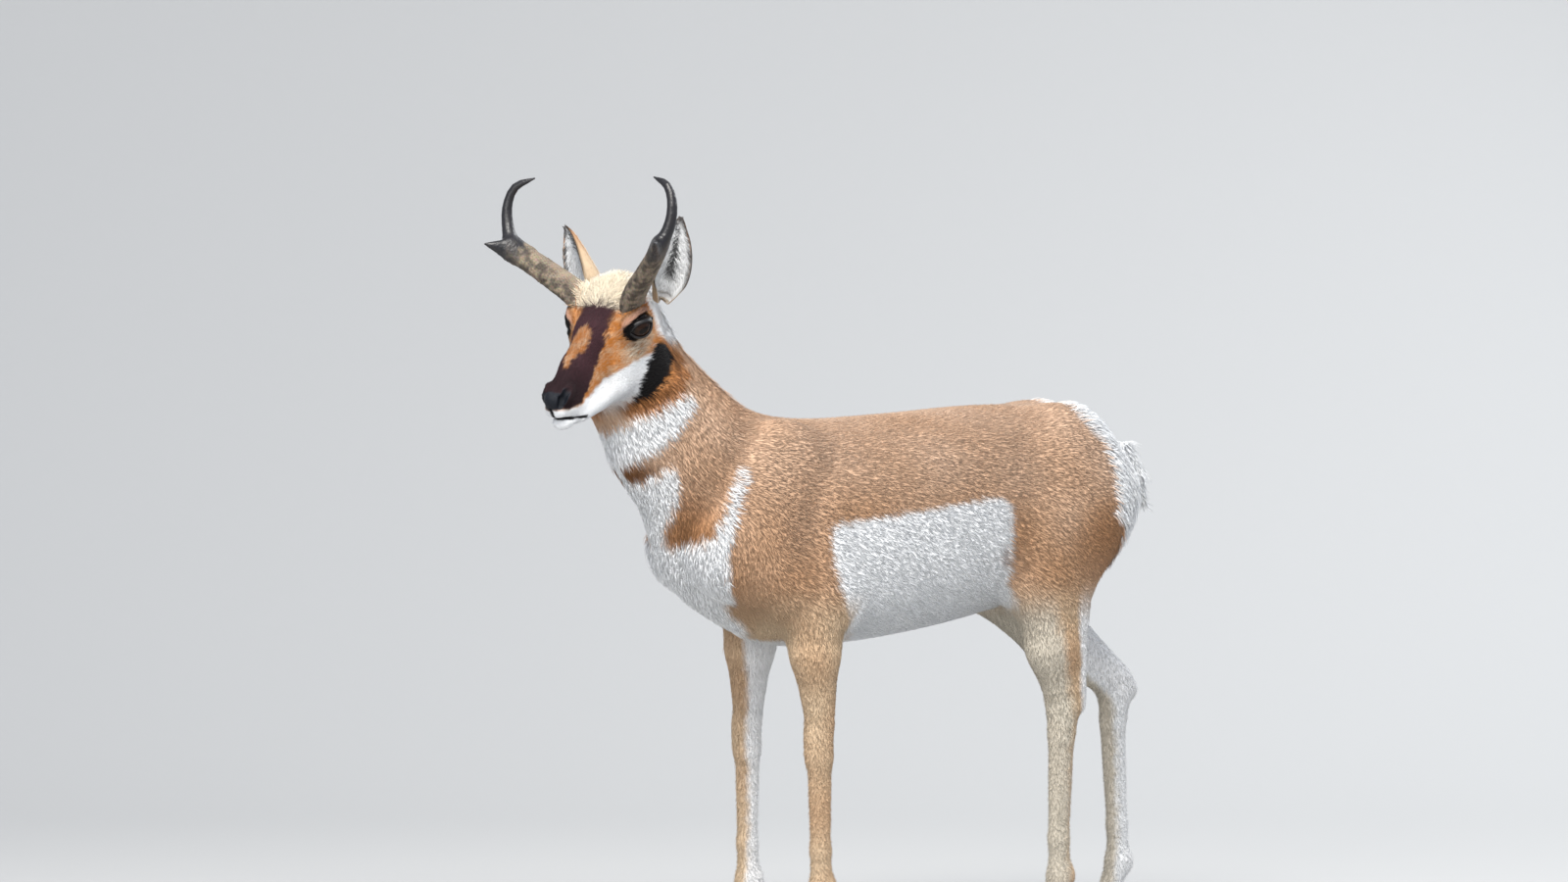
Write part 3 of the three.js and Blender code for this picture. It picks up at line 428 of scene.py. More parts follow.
def eye_axes(m):
    """Along the slit between the lids, up and outward, from an eyeball's centre."""
    f, l, u = (m - EYE_PLACE).T
    return np.stack([EYE_COS * f - EYE_SIN * l, u, EYE_SIN * f + EYE_COS * l], 1)


def lens(a, b):
    """Distance to the almond between two arcs over the slit's half length and half height."""
    b = b - EYE_SLANT * a
    upper = np.hypot(a, b + LID_ARC - EYE_OPENING[1]) - LID_ARC
    lower = np.hypot(a, b - LID_ARC + EYE_OPENING[1]) - LID_ARC
    return np.maximum(upper, lower)


MOUTH_LINE = np.array([[215, -25], [202, -29], [190, -36], [166, -54], [154, -62]], float)
NOSTRIL = [[163, 29, 10, 2.2], [176, 24, 9, 4.4], [187, 17, 1, 5.2], [195, 14, -7, 4]]


def path_distance(p, path):
    """Distance to a chain of straight pieces, and how far along it, from 0 to 1."""
    best, share = None, None
    for i, (start, end) in enumerate(zip(path[:-1], path[1:])):
        along = end - start
        t = np.clip((p - start) @ along / (along @ along), 0, 1)
        d = np.sqrt(((p - start - t[:, None] * along) ** 2).sum(1))
        here = (i + t) / (len(path) - 1)
        share = here if best is None else np.where(d < best, here, share)
        best = d if best is None else np.minimum(best, d)
    return best, share


def head(p):
    """Distance to the head, with its eye sockets, the slit between the lids, nostrils and the mouth."""
    m, f, l, u = one_side(p)
    total = np.full(len(m), 1e3)
    for shape, blend in HEAD_SHAPES:
        total = smooth_min(total, shape(m), blend)
    e = eye_axes(m)
    ball = np.sqrt((e * e).sum(1))
    total = smooth_min(total, np.maximum(ball - EYE_RADIUS - 3.4, -e[:, 2] - 4), 6)
    total = smooth_max(total, -np.maximum(lens(e[:, 0], e[:, 1]), -e[:, 2]), 3)
    total = np.maximum(total, EYE_RADIUS + 0.5 - ball)
    total = smooth_max(total, -limb(NOSTRIL, 1, 4)(m), 3)
    rim = np.hypot(e[:, 0] / 1.3, e[:, 1])
    above = step(0, 9, e[:, 1]) * (e[:, 2] > 0)
    total = total + above * (1.5 * np.exp(-((rim - 21) / 2.6) ** 2) - 1.4 * np.exp(-((rim - 26) / 3) ** 2))
    groove, share = path_distance(m[:, [0, 2]], MOUTH_LINE)
    total = total + (4.2 - 2.6 * share) * np.exp(-(groove / 2.8) ** 2)
    notch = np.hypot(l, np.maximum(np.abs(u + 15) - 9, 0))
    return total + 1.6 * np.exp(-(notch / 2.4) ** 2) * (f > 170)


def flesh(p):
    """Distance to the whole animal, under 0 inside."""
    total = smooth_min(trunk(p), NECK(p), 60)
    for shape, blend in LEG_SHAPES:
        total = smooth_min(total, shape(p), blend)
    total = smooth_min(total, TAIL(p), 10)
    near = np.sqrt(((p - from_head([[50, 0, -20]])) ** 2).sum(1)) < 330
    total[near] = smooth_min(total[near], head(p[near]), 30)
    return total


def head_share(p):
    """1 on the head and 0 on the neck, across the line from the nape to the throat."""
    h = to_head(p)
    front = (h[:, 0] + 108) * 0.915 + (h[:, 2] - 60) * 0.408
    above = h[:, 2] + 124 - 0.105 * (h[:, 0] + 26)
    return step(-16, 16, np.minimum(front, above))


def leg_share(p):
    """1 on the legs below elbow and stifle, and 0 on the trunk, chest and belly."""
    x, z = p[:, 0], p[:, 2]
    reach = np.where(x > 0, step(275, 235, x) * step(80, 112, x), step(-165, -200, x))
    return step(600, 520, z) * np.maximum(reach, step(480, 460, z))


def coat_depth(p):
    """How far the skin lies under the coat's tips."""
    on_head, on_leg = head_share(p), leg_share(p)
    muzzle = step(60, 150, to_head(p)[:, 0])
    trunk_depth = 6 + 2 * step(-300, -400, p[:, 0]) + 2 * step(330, 420, p[:, 0])
    leg_depth = 3.5 - 2 * step(420, 250, p[:, 2])
    body = trunk_depth + (leg_depth - trunk_depth) * on_leg
    return body + (2.4 - 1.4 * muzzle - body) * on_head


def skin_field(p):
    """The field whose zero is the skin: the flesh drawn in by the coat's depth."""
    return flesh(p) + coat_depth(p)


def slope_of(field, p, h=0.4):
    """The field's value and its slope along each axis, by forward steps of h."""
    value = field(p)
    slopes = [(field(p + h * np.eye(3)[i]) - value) / h for i in range(3)]
    return value, np.stack(slopes, 1)


def lattice(low, high, step_size, fine):
    """Lines across a span a step apart, or finer within [from, to, step]."""
    before = np.arange(low, fine[0], step_size)
    inside = np.arange(fine[0], fine[1], fine[2])
    after = np.arange(fine[1], high + step_size, step_size)
    return np.concatenate([before, inside, after])


CELL, HEAD_CELL, COARSE = 6.6, 2.6, 4
LINES = [
    lattice(-530, 690, CELL, [412, 672, HEAD_CELL]),
    lattice(-180, 215, CELL, [-52, 196, HEAD_CELL]),
    lattice(4, 1120, CELL, [862, 1104, HEAD_CELL]),
]


def lattice_values(field, lines):
    """The field at every lattice point: read on every fourth line, spread between them, and read again where
    the surface may pass."""
    picks = [np.unique(np.append(np.arange(0, len(line), COARSE), len(line) - 1)) for line in lines]
    coarse = np.stack(np.meshgrid(*[line[pick] for line, pick in zip(lines, picks)], indexing="ij"), -1)
    values = field(coarse.reshape(-1, 3)).reshape(coarse.shape[:3])
    for axis, (line, pick) in enumerate(zip(lines, picks)):
        i = np.clip(np.searchsorted(pick, np.arange(len(line)), "right") - 1, 0, len(pick) - 2)
        t = (line - line[pick[i]]) / (line[pick[i + 1]] - line[pick[i]])
        shape = [1, 1, 1]
        shape[axis] = -1
        t = t.reshape(shape)
        values = np.take(values, i, axis) * (1 - t) + np.take(values, i + 1, axis) * t
    reach = [np.gradient(line) * COARSE for line in lines]
    diagonal = np.sqrt(reach[0][:, None, None] ** 2 + reach[1][None, :, None] ** 2 + reach[2] ** 2)
    near = np.nonzero(np.abs(values) < 1.05 * diagonal)
    points = np.stack([line[index] for line, index in zip(lines, near)], 1)
    values[near] = field(points)
    return values


def surface_net(field, lines):
    """One point in every cell that the surface crosses, and one quad for every lattice edge it crosses. The
    points are drawn onto the surface by Newton steps, and evened out twice between them."""
    values = lattice_values(field, lines)
    inside = values < 0
    shape = inside.shape
    quads = []
    for axis in range(3):
        a, b = np.delete(np.arange(3), axis)
        low = np.take(inside, np.arange(shape[axis] - 1), axis)
        high = np.take(inside, np.arange(1, shape[axis]), axis)
        at = np.stack(np.nonzero(low != high), 1)
        leaves = low[tuple(at.T)]
        one = np.eye(3, dtype=int)
        ring = [at, at - one[a], at - one[a] - one[b], at - one[b]]
        ring = np.stack([np.ravel_multi_index(tuple(cell.T), shape) for cell in ring], 1)
        forward = leaves if axis != 1 else ~leaves
        quads.append(np.where(forward[:, None], ring, ring[:, ::-1]))
    quads = np.concatenate(quads)
    cells, faces = np.unique(quads, return_inverse=True)
    faces = faces.reshape(-1, 4)
    index = np.unravel_index(cells, shape)
    low = np.stack([line[i] for line, i in zip(lines, index)], 1)
    high = np.stack([line[i + 1] for line, i in zip(lines, index)], 1)
    points = (low + high) / 2
    margin = 0.03 * (high - low)
    edges = np.unique(np.sort(np.concatenate([faces[:, [k, (k + 1) % 4]] for k in range(4)]), axis=1), axis=0)
    for move in range(4):
        if move in (2, 3):
            total, count = np.zeros_like(points), np.zeros(len(points))
            for i, j in ((0, 1), (1, 0)):
                for k in range(3):
                    total[:, k] += np.bincount(edges[:, i], points[edges[:, j], k], len(points))
                count += np.bincount(edges[:, i], minlength=len(points))
            points = 0.45 * points + 0.55 * total / count[:, None]
        value, slope = slope_of(field, points)
        points = points - slope * (value / ((slope ** 2).sum(1) + 1e-6))[:, None]
        points = np.clip(points, low + margin, high - margin)
    return points, faces


skin_points, skin_faces = surface_net(skin_field, LINES)
_, skin_slope = slope_of(skin_field, skin_points)
skin_normals = unit(skin_slope)

# Markings of the coat, with painted light and shade
# Cinnamon over the back, white on flanks, rump, throat and cheeks, and a dark mask. Painted on them are sky
# light on the top of the body, a highlight above each eye, and shade in a flank fold, the mouth's groove and
# the split under the nose. Outlines are side views, in the body's axes or the head's, and the same function
# colours the skin and every tuft that grows on it.


def paint(red, green, blue):
    """A colour as a camera writes it, 0 to 255, turned into linear light."""
    c = np.array([red, green, blue]) / 255
    return np.where(c < 0.04045, c / 12.92, ((c + 0.055) / 1.055) ** 2.4)


LEG_SPLIT = -60
CINNAMON, PINK_TAN, PALE_TAN = paint(184, 141, 104), paint(208, 176, 150), paint(208, 184, 154)
RUST, BROWN, ORANGE = paint(160, 110, 66), paint(118, 74, 36), paint(184, 116, 52)
WHITE, CREAM, GREY = paint(238, 239, 240), paint(226, 214, 192), paint(150, 142, 132)
MASK, BLACK, LEATHER = paint(60, 37, 42), paint(12, 9, 10), paint(24, 27, 34)
PINK, BONE = paint(176, 138, 122), paint(198, 192, 178)
FLANK = [(153, 701), (104, 708), (36, 717), (-35, 725), (-108, 734), (-149, 738), (-165, 726), (-170, 685),
         (-171, 600), (-192, 560), (-192, 400), (60, 400), (96, 520), (114, 546), (139, 598), (150, 646),
         (157, 677)]
RUMP = [(-292, 900), (-306, 858), (-340, 819), (-354, 773), (-360, 717), (-357, 704), (-381, 690),
        (-385, 659), (-380, 629), (-420, 560), (-540, 560), (-540, 900)]
THROAT = [(363, 907), (386, 917), (442, 885), (479, 870), (507, 854), (590, 850), (590, 800), (495, 797),
          (481, 798), (471, 803), (434, 827), (402, 853), (375, 887)]
BREAST = [(590, 772), (471, 772), (453, 771), (430, 783), (403, 798), (394, 774), (394, 751), (401, 719),
          (405, 695), (402, 679), (393, 665), (368, 679), (354, 690), (334, 728), (312, 766), (297, 796),
          (292, 790), (301, 762), (322, 713), (337, 667), (330, 610), (300, 560), (278, 545), (246, 516),
          (190, 470), (590, 400)]
FACE_MASK = [(-6, 80), (-8, 28), (20, 27), (42, 20), (56, 9), (74, -3), (99, -11), (121, -19), (133, -28),
             (160, -31), (186, -21), (198, -10), (225, -8), (225, 80)]
STREAK_WIDTH = [44, 56, 70, 92, 113, 134, 142], [-2, 9, 14, 14, 9, 2, -5]
CHEEK = [(225, -9), (203, -9), (194, -16), (167, -31), (143, -37), (113, -38), (82, -43), (50, -45),
         (17, -56), (-14, -66), (-22, -58), (-2, -75), (8, -86), (26, -96), (38, -107), (53, -116),
         (67, -140), (225, -140)]
CHEEK_PATCH = [(-31, -60), (-47, -77), (-48, -98), (-21, -112), (3, -118), (28, -124), (52, -122),
               (50, -114), (34, -94), (18, -80), (-2, -68), (-19, -60)]
HIND_CHEEK = [(-44, -66), (-58, -84), (-68, -110), (-50, -138), (-10, -150), (50, -142), (84, -126),
              (52, -116), (3, -108), (-21, -100)]
HEAD_REACH = 260
JAW_LINE = np.array([[84, -116], [52, -122], [20, -128], [-10, -132]], float)
EAR_WHITE = [(-56, 30), (-50, -8), (-52, -30), (-46, -56), (-58, -76), (-84, -98), (-112, -112), (-136, -96),
             (-150, -40), (-150, 70), (-80, 70)]
NOSE_PAD = [(186, 16), (185, 6), (190, -4), (196, -9), (225, -9), (225, 16)]
EYE_RUST = [(-56, 34), (-30, 34), (-20, 22), (-34, 8), (-40, -14), (-46, -24), (-54, -10)]


def ripple(p, size, seed=1):
    """Smooth noise from -1 to 1: the mean of sine waves about size long in seeded directions."""
    rng = np.random.default_rng(seed)
    waves = rng.normal(size=(10, 3))
    waves *= (2 * math.pi / size) * rng.uniform(0.6, 1.7, (10, 1)) / np.linalg.norm(waves, axis=1)[:, None]
    return np.sin(p @ waves.T + rng.uniform(0, 6.28, 10)).mean(1) * 2.2


def within(u, v, outline):
    """Distance inside an outline, and less than 0 outside: the nearest edge, signed by edges crossed."""
    best, inside = np.full(len(u), 1e9), np.zeros(len(u), bool)
    ends = outline[1:] + outline[:1]
    for (a, b), (c, d) in zip(outline, ends):
        t = np.clip(((u - a) * (c - a) + (v - b) * (d - b)) / ((c - a) ** 2 + (d - b) ** 2), 0, 1)
        best = np.minimum(best, (u - a - t * (c - a)) ** 2 + (v - b - t * (d - b)) ** 2)
        if b != d:
            inside ^= ((b > v) != (d > v)) & (u < (c - a) * (v - b) / (d - b) + a)
    return np.where(inside, 1, -1) * np.sqrt(best)


def blob(p, centre, radii):
    """1 at a centre, falling to 0 at its radii and beyond."""
    return np.clip(1 - (((p - centre) / radii) ** 2).sum(1), 0, 1)


def lay(under, over, share):
    """One colour or direction over another by a share at each point."""
    return under + (np.asarray(over) - under) * np.clip(share, 0, 1)[:, None]


def leg_colour(p, edge, cloud):
    """Tan in front and outside, white inside and behind, and a pale front on the hind legs."""
    x, y, z = p.T
    lines = []
    for legs in (FORELEGS, HINDLEGS):
        joints = [np.array(legs[name])[::-1] for name in SIDES]
        lines.append(np.where(y > 0, *[np.interp(z, joint[:, 2], joint[:, 0]) for joint in joints]))
    forward = x - np.where(x > LEG_SPLIT, *lines)
    colour = lay(np.tile(PALE_TAN, (len(p), 1)), CINNAMON, 0.3 + 0.3 * cloud)
    pale = step(-24, 4, forward + edge) * (x < LEG_SPLIT) * step(640, 540, z)
    colour = lay(colour, BONE, 0.85 * pale)
    inner = 84 - np.abs(y)
    colour = lay(colour, WHITE, 0.92 * step(0, 15, inner - 0.7 * forward + 0.6 * edge))
    return lay(colour, GREY, 0.3 * step(80, 45, z))


def face_colour(p):
    """The head's colours, from the crown tuft to the lips, in head axes."""
    m, f, l, u = one_side(p)
    fine = 2.4 * ripple(p, 12, 7) + 1.8 * ripple(p, 4.5, 8)
    speck = ripple(p, 5, 11)
    face = lay(np.tile(ORANGE, (len(p), 1)), PALE_TAN, 0.25 + 0.3 * ripple(p, 16, 9) + 0.3 * speck)
    mottle = blob(np.stack([f, u], 1), (8, -36), (46, 26))
    face = lay(face, CREAM, mottle * (0.8 + 0.8 * ripple(p, 7, 10)))
    face = lay(face, BROWN, mottle * np.clip(1.5 * speck, 0, 0.85))
    face = lay(face, ORANGE, step(-3, 3, within(f + fine, u + fine, EYE_RUST)))
    face = lay(face, WHITE, step(-3.5, 3.5, within(f + fine, u + fine, CHEEK)))
    mask = step(-2.5, 2.5, within(f + fine, u + 0.8 * fine, FACE_MASK))
    mask *= 1 - step(46, 52, l) * step(70, 40, f)
    streak = step(3.5, -3.5, l + fine - np.interp(f, *STREAK_WIDTH))
    streak *= step(42, 50, f) * step(146, 136, f)
    face = lay(face, MASK, mask * (1 - 0.92 * streak))
    face = lay(face, MASK, 0.3 * mask * streak)
    face = lay(face, BLACK, 0.6 * mask * step(100, 160, f) * (1 - streak))
    side_brow = mask * step(22, 34, l) * step(40, 20, f)
    face = lay(face, RUST, side_brow * np.clip(0.35 + 0.9 * ripple(p, 5, 14), 0, 0.85))
    crown = step(2, -6, f + fine - 3) * step(14, 24, u) * step(-150, -120, f) * step(46, 38, l)
    face = lay(face, CREAM, crown)
    e = eye_axes(m)
    front = (e[:, 2] > 0) * 1.0
    rim = np.hypot(e[:, 0] / 1.3, e[:, 1])
    # Painted highlight: a pale pink band on the fold of skin above the eye stands for light caught on its
    # glossy dark skin.
    face = lay(face, PINK, 0.8 * front * step(32, 27, rim) * step(5, 10, e[:, 1]))
    face = lay(face, BROWN, 0.7 * front * np.exp(-((rim - 30.5) / 1.6) ** 2) * step(4, 9, e[:, 1]))
    socket = np.hypot((e[:, 0] - 5) / 31, (e[:, 1] - 3.5) / 20) + 9 * (1 - front)
    face = lay(face, BLACK, step(1.08, 0.88, socket + 0.03 * fine))
    # Painted shade: black along the groove of the mouth and down the split under the nose stands for the
    # shade in them.
    lip, _ = path_distance(m[:, [0, 2]], MOUTH_LINE)
    face = lay(face, BLACK, step(3.4, 1.8, lip + 0.2 * fine))
    face = lay(face, BLACK, step(4.2, 2.4, np.hypot(l, np.maximum(np.abs(u + 16) - 8, 0))) * (f > 180))
    return lay(face, LEATHER, bare_share(p))


def coat_colour(p):
    """Colour of the coat at points: body, then legs, then head, each blended over the one before, and last
    the patches that cross from the head to the neck."""
    x, y, z = p.T
    edge = 4 * ripple(p, 24, 3) + 3 * ripple(p, 8, 4)
    cloud = ripple(p, 130, 5)
    side = np.stack([x, z], 1)
    # Painted sky light: the body turns paler pink-tan towards the top of the back, over its random tone.
    colour = lay(np.tile(CINNAMON, (len(p), 1)), PINK_TAN, 0.3 + 0.2 * cloud + 0.5 * step(640, 820, z))
    colour = lay(colour, PALE_TAN, 0.5 * step(620, 540, z))
    colour = lay(colour, RUST, 0.6 * blob(side, (-348, 664), (84, 80)))
    colour = lay(colour, RUST, 0.8 * blob(side, (380, 694), (56, 76)))
    colour = lay(colour, BROWN, 0.95 * blob(side, (463, 786), (42, 30)))
    for outline in (FLANK, RUMP, THROAT, BREAST):
        colour = lay(colour, WHITE, step(-6, 6, within(x + edge, z + 0.6 * edge, outline)))
    bridge = step(12, 7, np.abs(y - 6)) * (x > 440) * step(762, 770, z) * step(812, 800, z)
    colour = lay(colour, WHITE, bridge)
    # Painted shade: a short dark brown stroke on each flank stands for the shade in the skin fold there.
    colour = lay(colour, BROWN, 0.6 * blob(side, (-160, 640), (7, 26)) * (np.abs(y) > 60))
    colour = lay(colour, leg_colour(p, edge, cloud), leg_share(p))
    near_head = np.nonzero(((p - EYE_MIDDLE) ** 2).sum(1) < HEAD_REACH ** 2)[0]
    q = p[near_head]
    _, f, l, u = one_side(q)
    fine = 2.4 * ripple(q, 12, 7) + 2 * ripple(q, 4.5, 8)
    part = lay(colour[near_head], face_colour(q), head_share(q))
    part = lay(part, WHITE, step(-5, 5, within(f + 1.5 * fine, u + fine, EAR_WHITE)) * step(8, 20, l))
    hind = step(-8, 6, within(f + 2 * fine, u + 2 * fine, HIND_CHEEK)) * step(10, 26, l)
    part = lay(part, ORANGE, 0.75 * hind)
    part = lay(part, BLACK, hind * np.clip(1.1 * ripple(q, 5, 13) - 0.1, 0, 0.55))
    part = lay(part, BLACK, step(-2.5, 2.5, within(f + fine, u + fine, CHEEK_PATCH)))
    jaw, _ = path_distance(np.stack([f, u], 1), JAW_LINE)
    part = lay(part, BROWN, 0.7 * step(5, 1, jaw + fine) * step(8, 16, l))
    colour[near_head] = part
    return colour


def bare_share(p):
    """1 on the bare leather of the nose and the nostrils' rims, and 0 on hair."""
    m, f, l, u = one_side(p)
    pad = within(f + ripple(p, 9, 12), u, NOSE_PAD)
    wing = limb(NOSTRIL, 1, 4)(m)
    return np.maximum(step(-1.5, 1.5, pad) * step(20, 15, l), step(3.2, 1.6, wing) * step(168, 176, f))


# The skin
# One closed surface under the whole coat, from the nose to the pasterns, with the lids' opening, the nostrils
# and the groove of the mouth in it. It carries the markings with their painted light and shade, and fine pits
# where the hair grows from it.
SKIN_TONE = 0.85
PART_COUNT, DIRECTIONS, CHART_MARGIN, SHEET_WIDTH = 6, 6, 6, 2900.0
FLESH_NODES = [name for name in nodes if not name.startswith(("eye_", "horn_", "ear_", "hoof_"))]


def unwrap_chart(p, n):
    """Which flat chart a point is on: its part of the body, and the axis that its normal is nearest to."""
    head_axes = head_share(p) > 0.5
    n = np.where(head_axes[:, None], n @ HEAD_TURN, n)
    axis = np.abs(n).argmax(1)
    positive = n[np.arange(len(n)), axis] > 0
    leg = leg_share(p) > 0.5
    part = np.where(head_axes, 0, np.where(leg, 2 + 2 * (p[:, 0] > 0) + (p[:, 1] > 0), 1))
    return part * DIRECTIONS + axis * 2 + positive


def chart_plane(p, chart):
    """A point's place in its chart: the two axes other than the chart's own."""
    flat = np.where((chart < DIRECTIONS)[:, None], to_head(p), p)
    axis = chart % DIRECTIONS // 2
    first, second = np.where(axis == 0, 1, 0), np.where(axis == 2, 1, 2)
    rows = np.arange(len(p))
    return np.stack([flat[rows, first], flat[rows, second]], 1)


face_middle = skin_points[skin_faces].mean(1)
face_normal = unit(skin_normals[skin_faces].sum(1))
face_chart = unwrap_chart(face_middle, face_normal)
CHART_COUNT = PART_COUNT * DIRECTIONS
chart_low, chart_size = np.zeros((CHART_COUNT, 2)), np.zeros((CHART_COUNT, 2))
for chart in range(CHART_COUNT):
    corners = skin_points[skin_faces[face_chart == chart]].reshape(-1, 3)
    if len(corners):
        flat = chart_plane(corners, np.full(len(corners), chart))
        chart_low[chart] = flat.min(0)
        chart_size[chart] = flat.max(0) - flat.min(0) + 2 * CHART_MARGIN
chart_place, shelf, cursor = np.zeros((CHART_COUNT, 2)), 0.0, [0.0, 0.0]
for chart in np.argsort(-chart_size[:, 1]):
    if cursor[0] + chart_size[chart, 0] > SHEET_WIDTH:
        cursor, shelf = [0.0, cursor[1] + shelf], 0.0
    chart_place[chart] = cursor
    shelf = max(shelf, chart_size[chart, 1])
    cursor[0] += chart_size[chart, 0]
sheet_side = max(SHEET_WIDTH, cursor[1] + shelf)


def bake_place(p, chart):
    """Where a point lies on the unwrapped sheet, from 0 to 1."""
    return (chart_plane(p, chart) - chart_low[chart] + chart_place[chart] + CHART_MARGIN) / sheet_side


def colour_layer(obj, name, values):
    """Stores a colour for every point of a mesh."""
    layer = obj.data.color_attributes.new(name, "FLOAT_COLOR", "POINT")
    opaque = np.column_stack([values, np.ones(len(values))])
    layer.data.foreach_set("color", opaque.astype(np.float32).ravel())


def bake_map(obj, places):
    """Stores the OFBake map, one place for every corner of every face."""
    layer = obj.data.uv_layers.new(name="OFBake")
    layer.data.foreach_set("uv", places.astype(np.float32).ravel())


def dress(obj, slot, *replaced):
    """Every piece rides on the animal's one body and hides the model's parts that it stands for; the slot is
    not used.
    """
    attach(obj, "root")
    if replaced:
        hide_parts(*replaced)


skin = mesh_object("skin", metres(skin_points), skin_faces)
colour_layer(skin, "Coat", coat_colour(skin_points) * SKIN_TONE)
bare = bare_share(skin_points)
colour_layer(skin, "Bare", np.repeat(bare[:, None], 3, 1))
bake_map(skin, bake_place(skin_points[skin_faces].reshape(-1, 3), np.repeat(face_chart, 4)))
skin_paint, tree, shader = plain_material("hide", CINNAMON, 0.8)
shader.inputs["Specular IOR Level"].default_value = 0.15
coat_read, bare_read, place = stored(tree, "Coat"), stored(tree, "Bare"), shader_node(tree, "TexCoord")
grain = shader_node(tree, "TexNoise", Scale=420, Detail=4)
cells = shader_node(tree, "TexVoronoi", Scale=900)
height = shader_node(tree, "Mix")
bump = shader_node(tree, "Bump", Strength=0.6, Distance=0.0012)
gloss = shader_node(tree, "MapRange", To_Min=0.85, To_Max=0.32)
link(tree, (place, "Object", grain, "Vector"), (place, "Object", cells, "Vector"),
     (bare_read, "Fac", height, "Factor"), (grain, "Fac", height, "A"), (cells, "Distance", height, "B"),
     (height, "Result", bump, "Height"), (bump, "Normal", shader, "Normal"),
     (bare_read, "Fac", gloss, "Value"), (gloss, "Result", shader, "Roughness"),
     (coat_read, "Color", shader, "Base Color"))
skin.data.materials.append(skin_paint)
dress(skin, "coat", *FLESH_NODES)

# The coat
# Short hollow hairs lie flat from the nose back over the body and down the legs, in tufts a few millimetres
# wide. They are longer on the neck and rump, and shortest on the face and feet.
hair_paint, tree, shader = plain_material("hair", CINNAMON, 0.62)
link(tree, (stored(tree, "Coat"), "Color", shader, "Base Color"))
shader.inputs["Sheen Weight"].default_value = 0.02
shader.inputs["Sheen Roughness"].default_value = 0.45
shader.inputs["Specular IOR Level"].default_value = 0.08


def hair_lie(p, n):
    """The way the coat lies: back and down the body, along the neck, down the legs, and from the nose to the
    ears, each weighed by place, and flattened onto the skin."""
    x, y, z = p.T
    one = np.ones(len(p))
    flow = np.stack([-one, 0.1 * np.sign(y), -0.18 - 0.5 * step(860, 640, z)], 1)
    flow = lay(flow, [-0.52, 0, -0.85], step(250, 360, x + 0.5 * (z - 800)))
    flow = lay(flow, [-0.3, 0, -1], step(200, 300, x) * step(760, 660, z))
    over_rump = np.stack([-0.35 * one, 0.35 * np.sign(y), -one], 1)
    flow = lay(flow, over_rump, step(-330, -430, x) * step(500, 560, z))
    flow = lay(flow, [-0.16, 0, -1], leg_share(p))
    h = to_head(p)
    droop = step(10, -60, h[:, 2]) * step(170, 60, h[:, 0])
    face = np.stack([-one, 0.25 * np.sign(h[:, 1]) * step(30, 0, h[:, 0]), -0.45 * droop], 1) @ HEAD_TURN.T
    return flattened(lay(flow, face, head_share(p)), n)


def flattened(v, n):
    """Unit vectors along surfaces: v less its part along the normal n."""
    return unit(v - (v * n).sum(1)[:, None] * n)


def turned(lie, n, angle):
    """Directions turned by an angle in their surface: lie cos + (n x lie) sin."""
    return lie * np.cos(angle)[:, None] + np.cross(n, lie) * np.sin(angle)[:, None]


ROOT_TONE, TIP_TONE, PATCH_REACH, TUFT_HEIGHT = 0.88, 1.06, 0.0015, 0.45


def tuft_mesh(root, normal, lie, length, width, lift, rings):
    """Closed tufts: at each share s of its length a tuft stands at root + length (lie s + normal lift s (1 -
    s / 2)), with a three-cornered section that narrows to its tip. Gives points and triangles."""
    count = len(root)
    across = np.cross(normal, lie)
    shares = np.append(np.linspace(0, 1, rings + 1)[:-1], 1.0)
    points = []
    for s in shares[:-1]:
        rise = lift * s * (1 - 0.5 * s) - (0.03 if s == 0 else 0)
        middle = root + length[:, None] * (lie * s + normal * rise[:, None])
        half = (0.5 * width * (1 - s) ** 0.6)[:, None]
        points += [middle - across * half, middle + across * half, middle + normal * half * TUFT_HEIGHT]
    points.append(root + length[:, None] * (lie + normal * (0.5 * lift)[:, None]))
    points = np.stack(points, 1)
    base = [[0, 2, 1]]
    for r in range(rings - 1):
        for a, b in ((0, 1), (2, 0), (1, 2)):
            base += [[3 * r + a, 3 * r + b, 3 * r + 3 + b], [3 * r + a, 3 * r + 3 + b, 3 * r + 3 + a]]
    last = 3 * (rings - 1)
    base += [[last + a, last + b, 3 * rings] for a, b in ((0, 1), (2, 0), (1, 2))]
    size = 3 * rings + 1
    faces = np.array(base)[None] + size * np.arange(count)[:, None, None]
    return points.reshape(-1, 3), faces.reshape(-1, 3), np.append(np.repeat(shares[:-1], 3), 1.0)


def tuft_piece(name, root, normal, lie, length, width, lift, colour, rings, place):
    """One object of joined tufts, shaded from a darker root to a lighter tip."""
    points, faces, shares = tuft_mesh(root, normal, lie, length, width, lift, rings)
    obj = mesh_object(name, metres(points), faces)
    tone = ROOT_TONE + (TIP_TONE - ROOT_TONE) * shares
    colour_layer(obj, "Coat", (colour[:, None, :] * tone[None, :, None]).reshape(-1, 3))
    patch = PATCH_REACH * np.stack([np.cos(2.4 * np.arange(len(shares))), 2 * shares - 1], 1)
    corner = (place[:, None, :] + patch[None]).reshape(-1, 2)
    bake_map(obj, corner[faces.ravel()])
    obj.data.materials.append(hair_paint)
    dress(obj, "coat")
    return obj


quad = skin_points[skin_faces]
face_area = 0.5 * np.linalg.norm(np.cross(quad[:, 2] - quad[:, 0], quad[:, 3] - quad[:, 1]), axis=1)


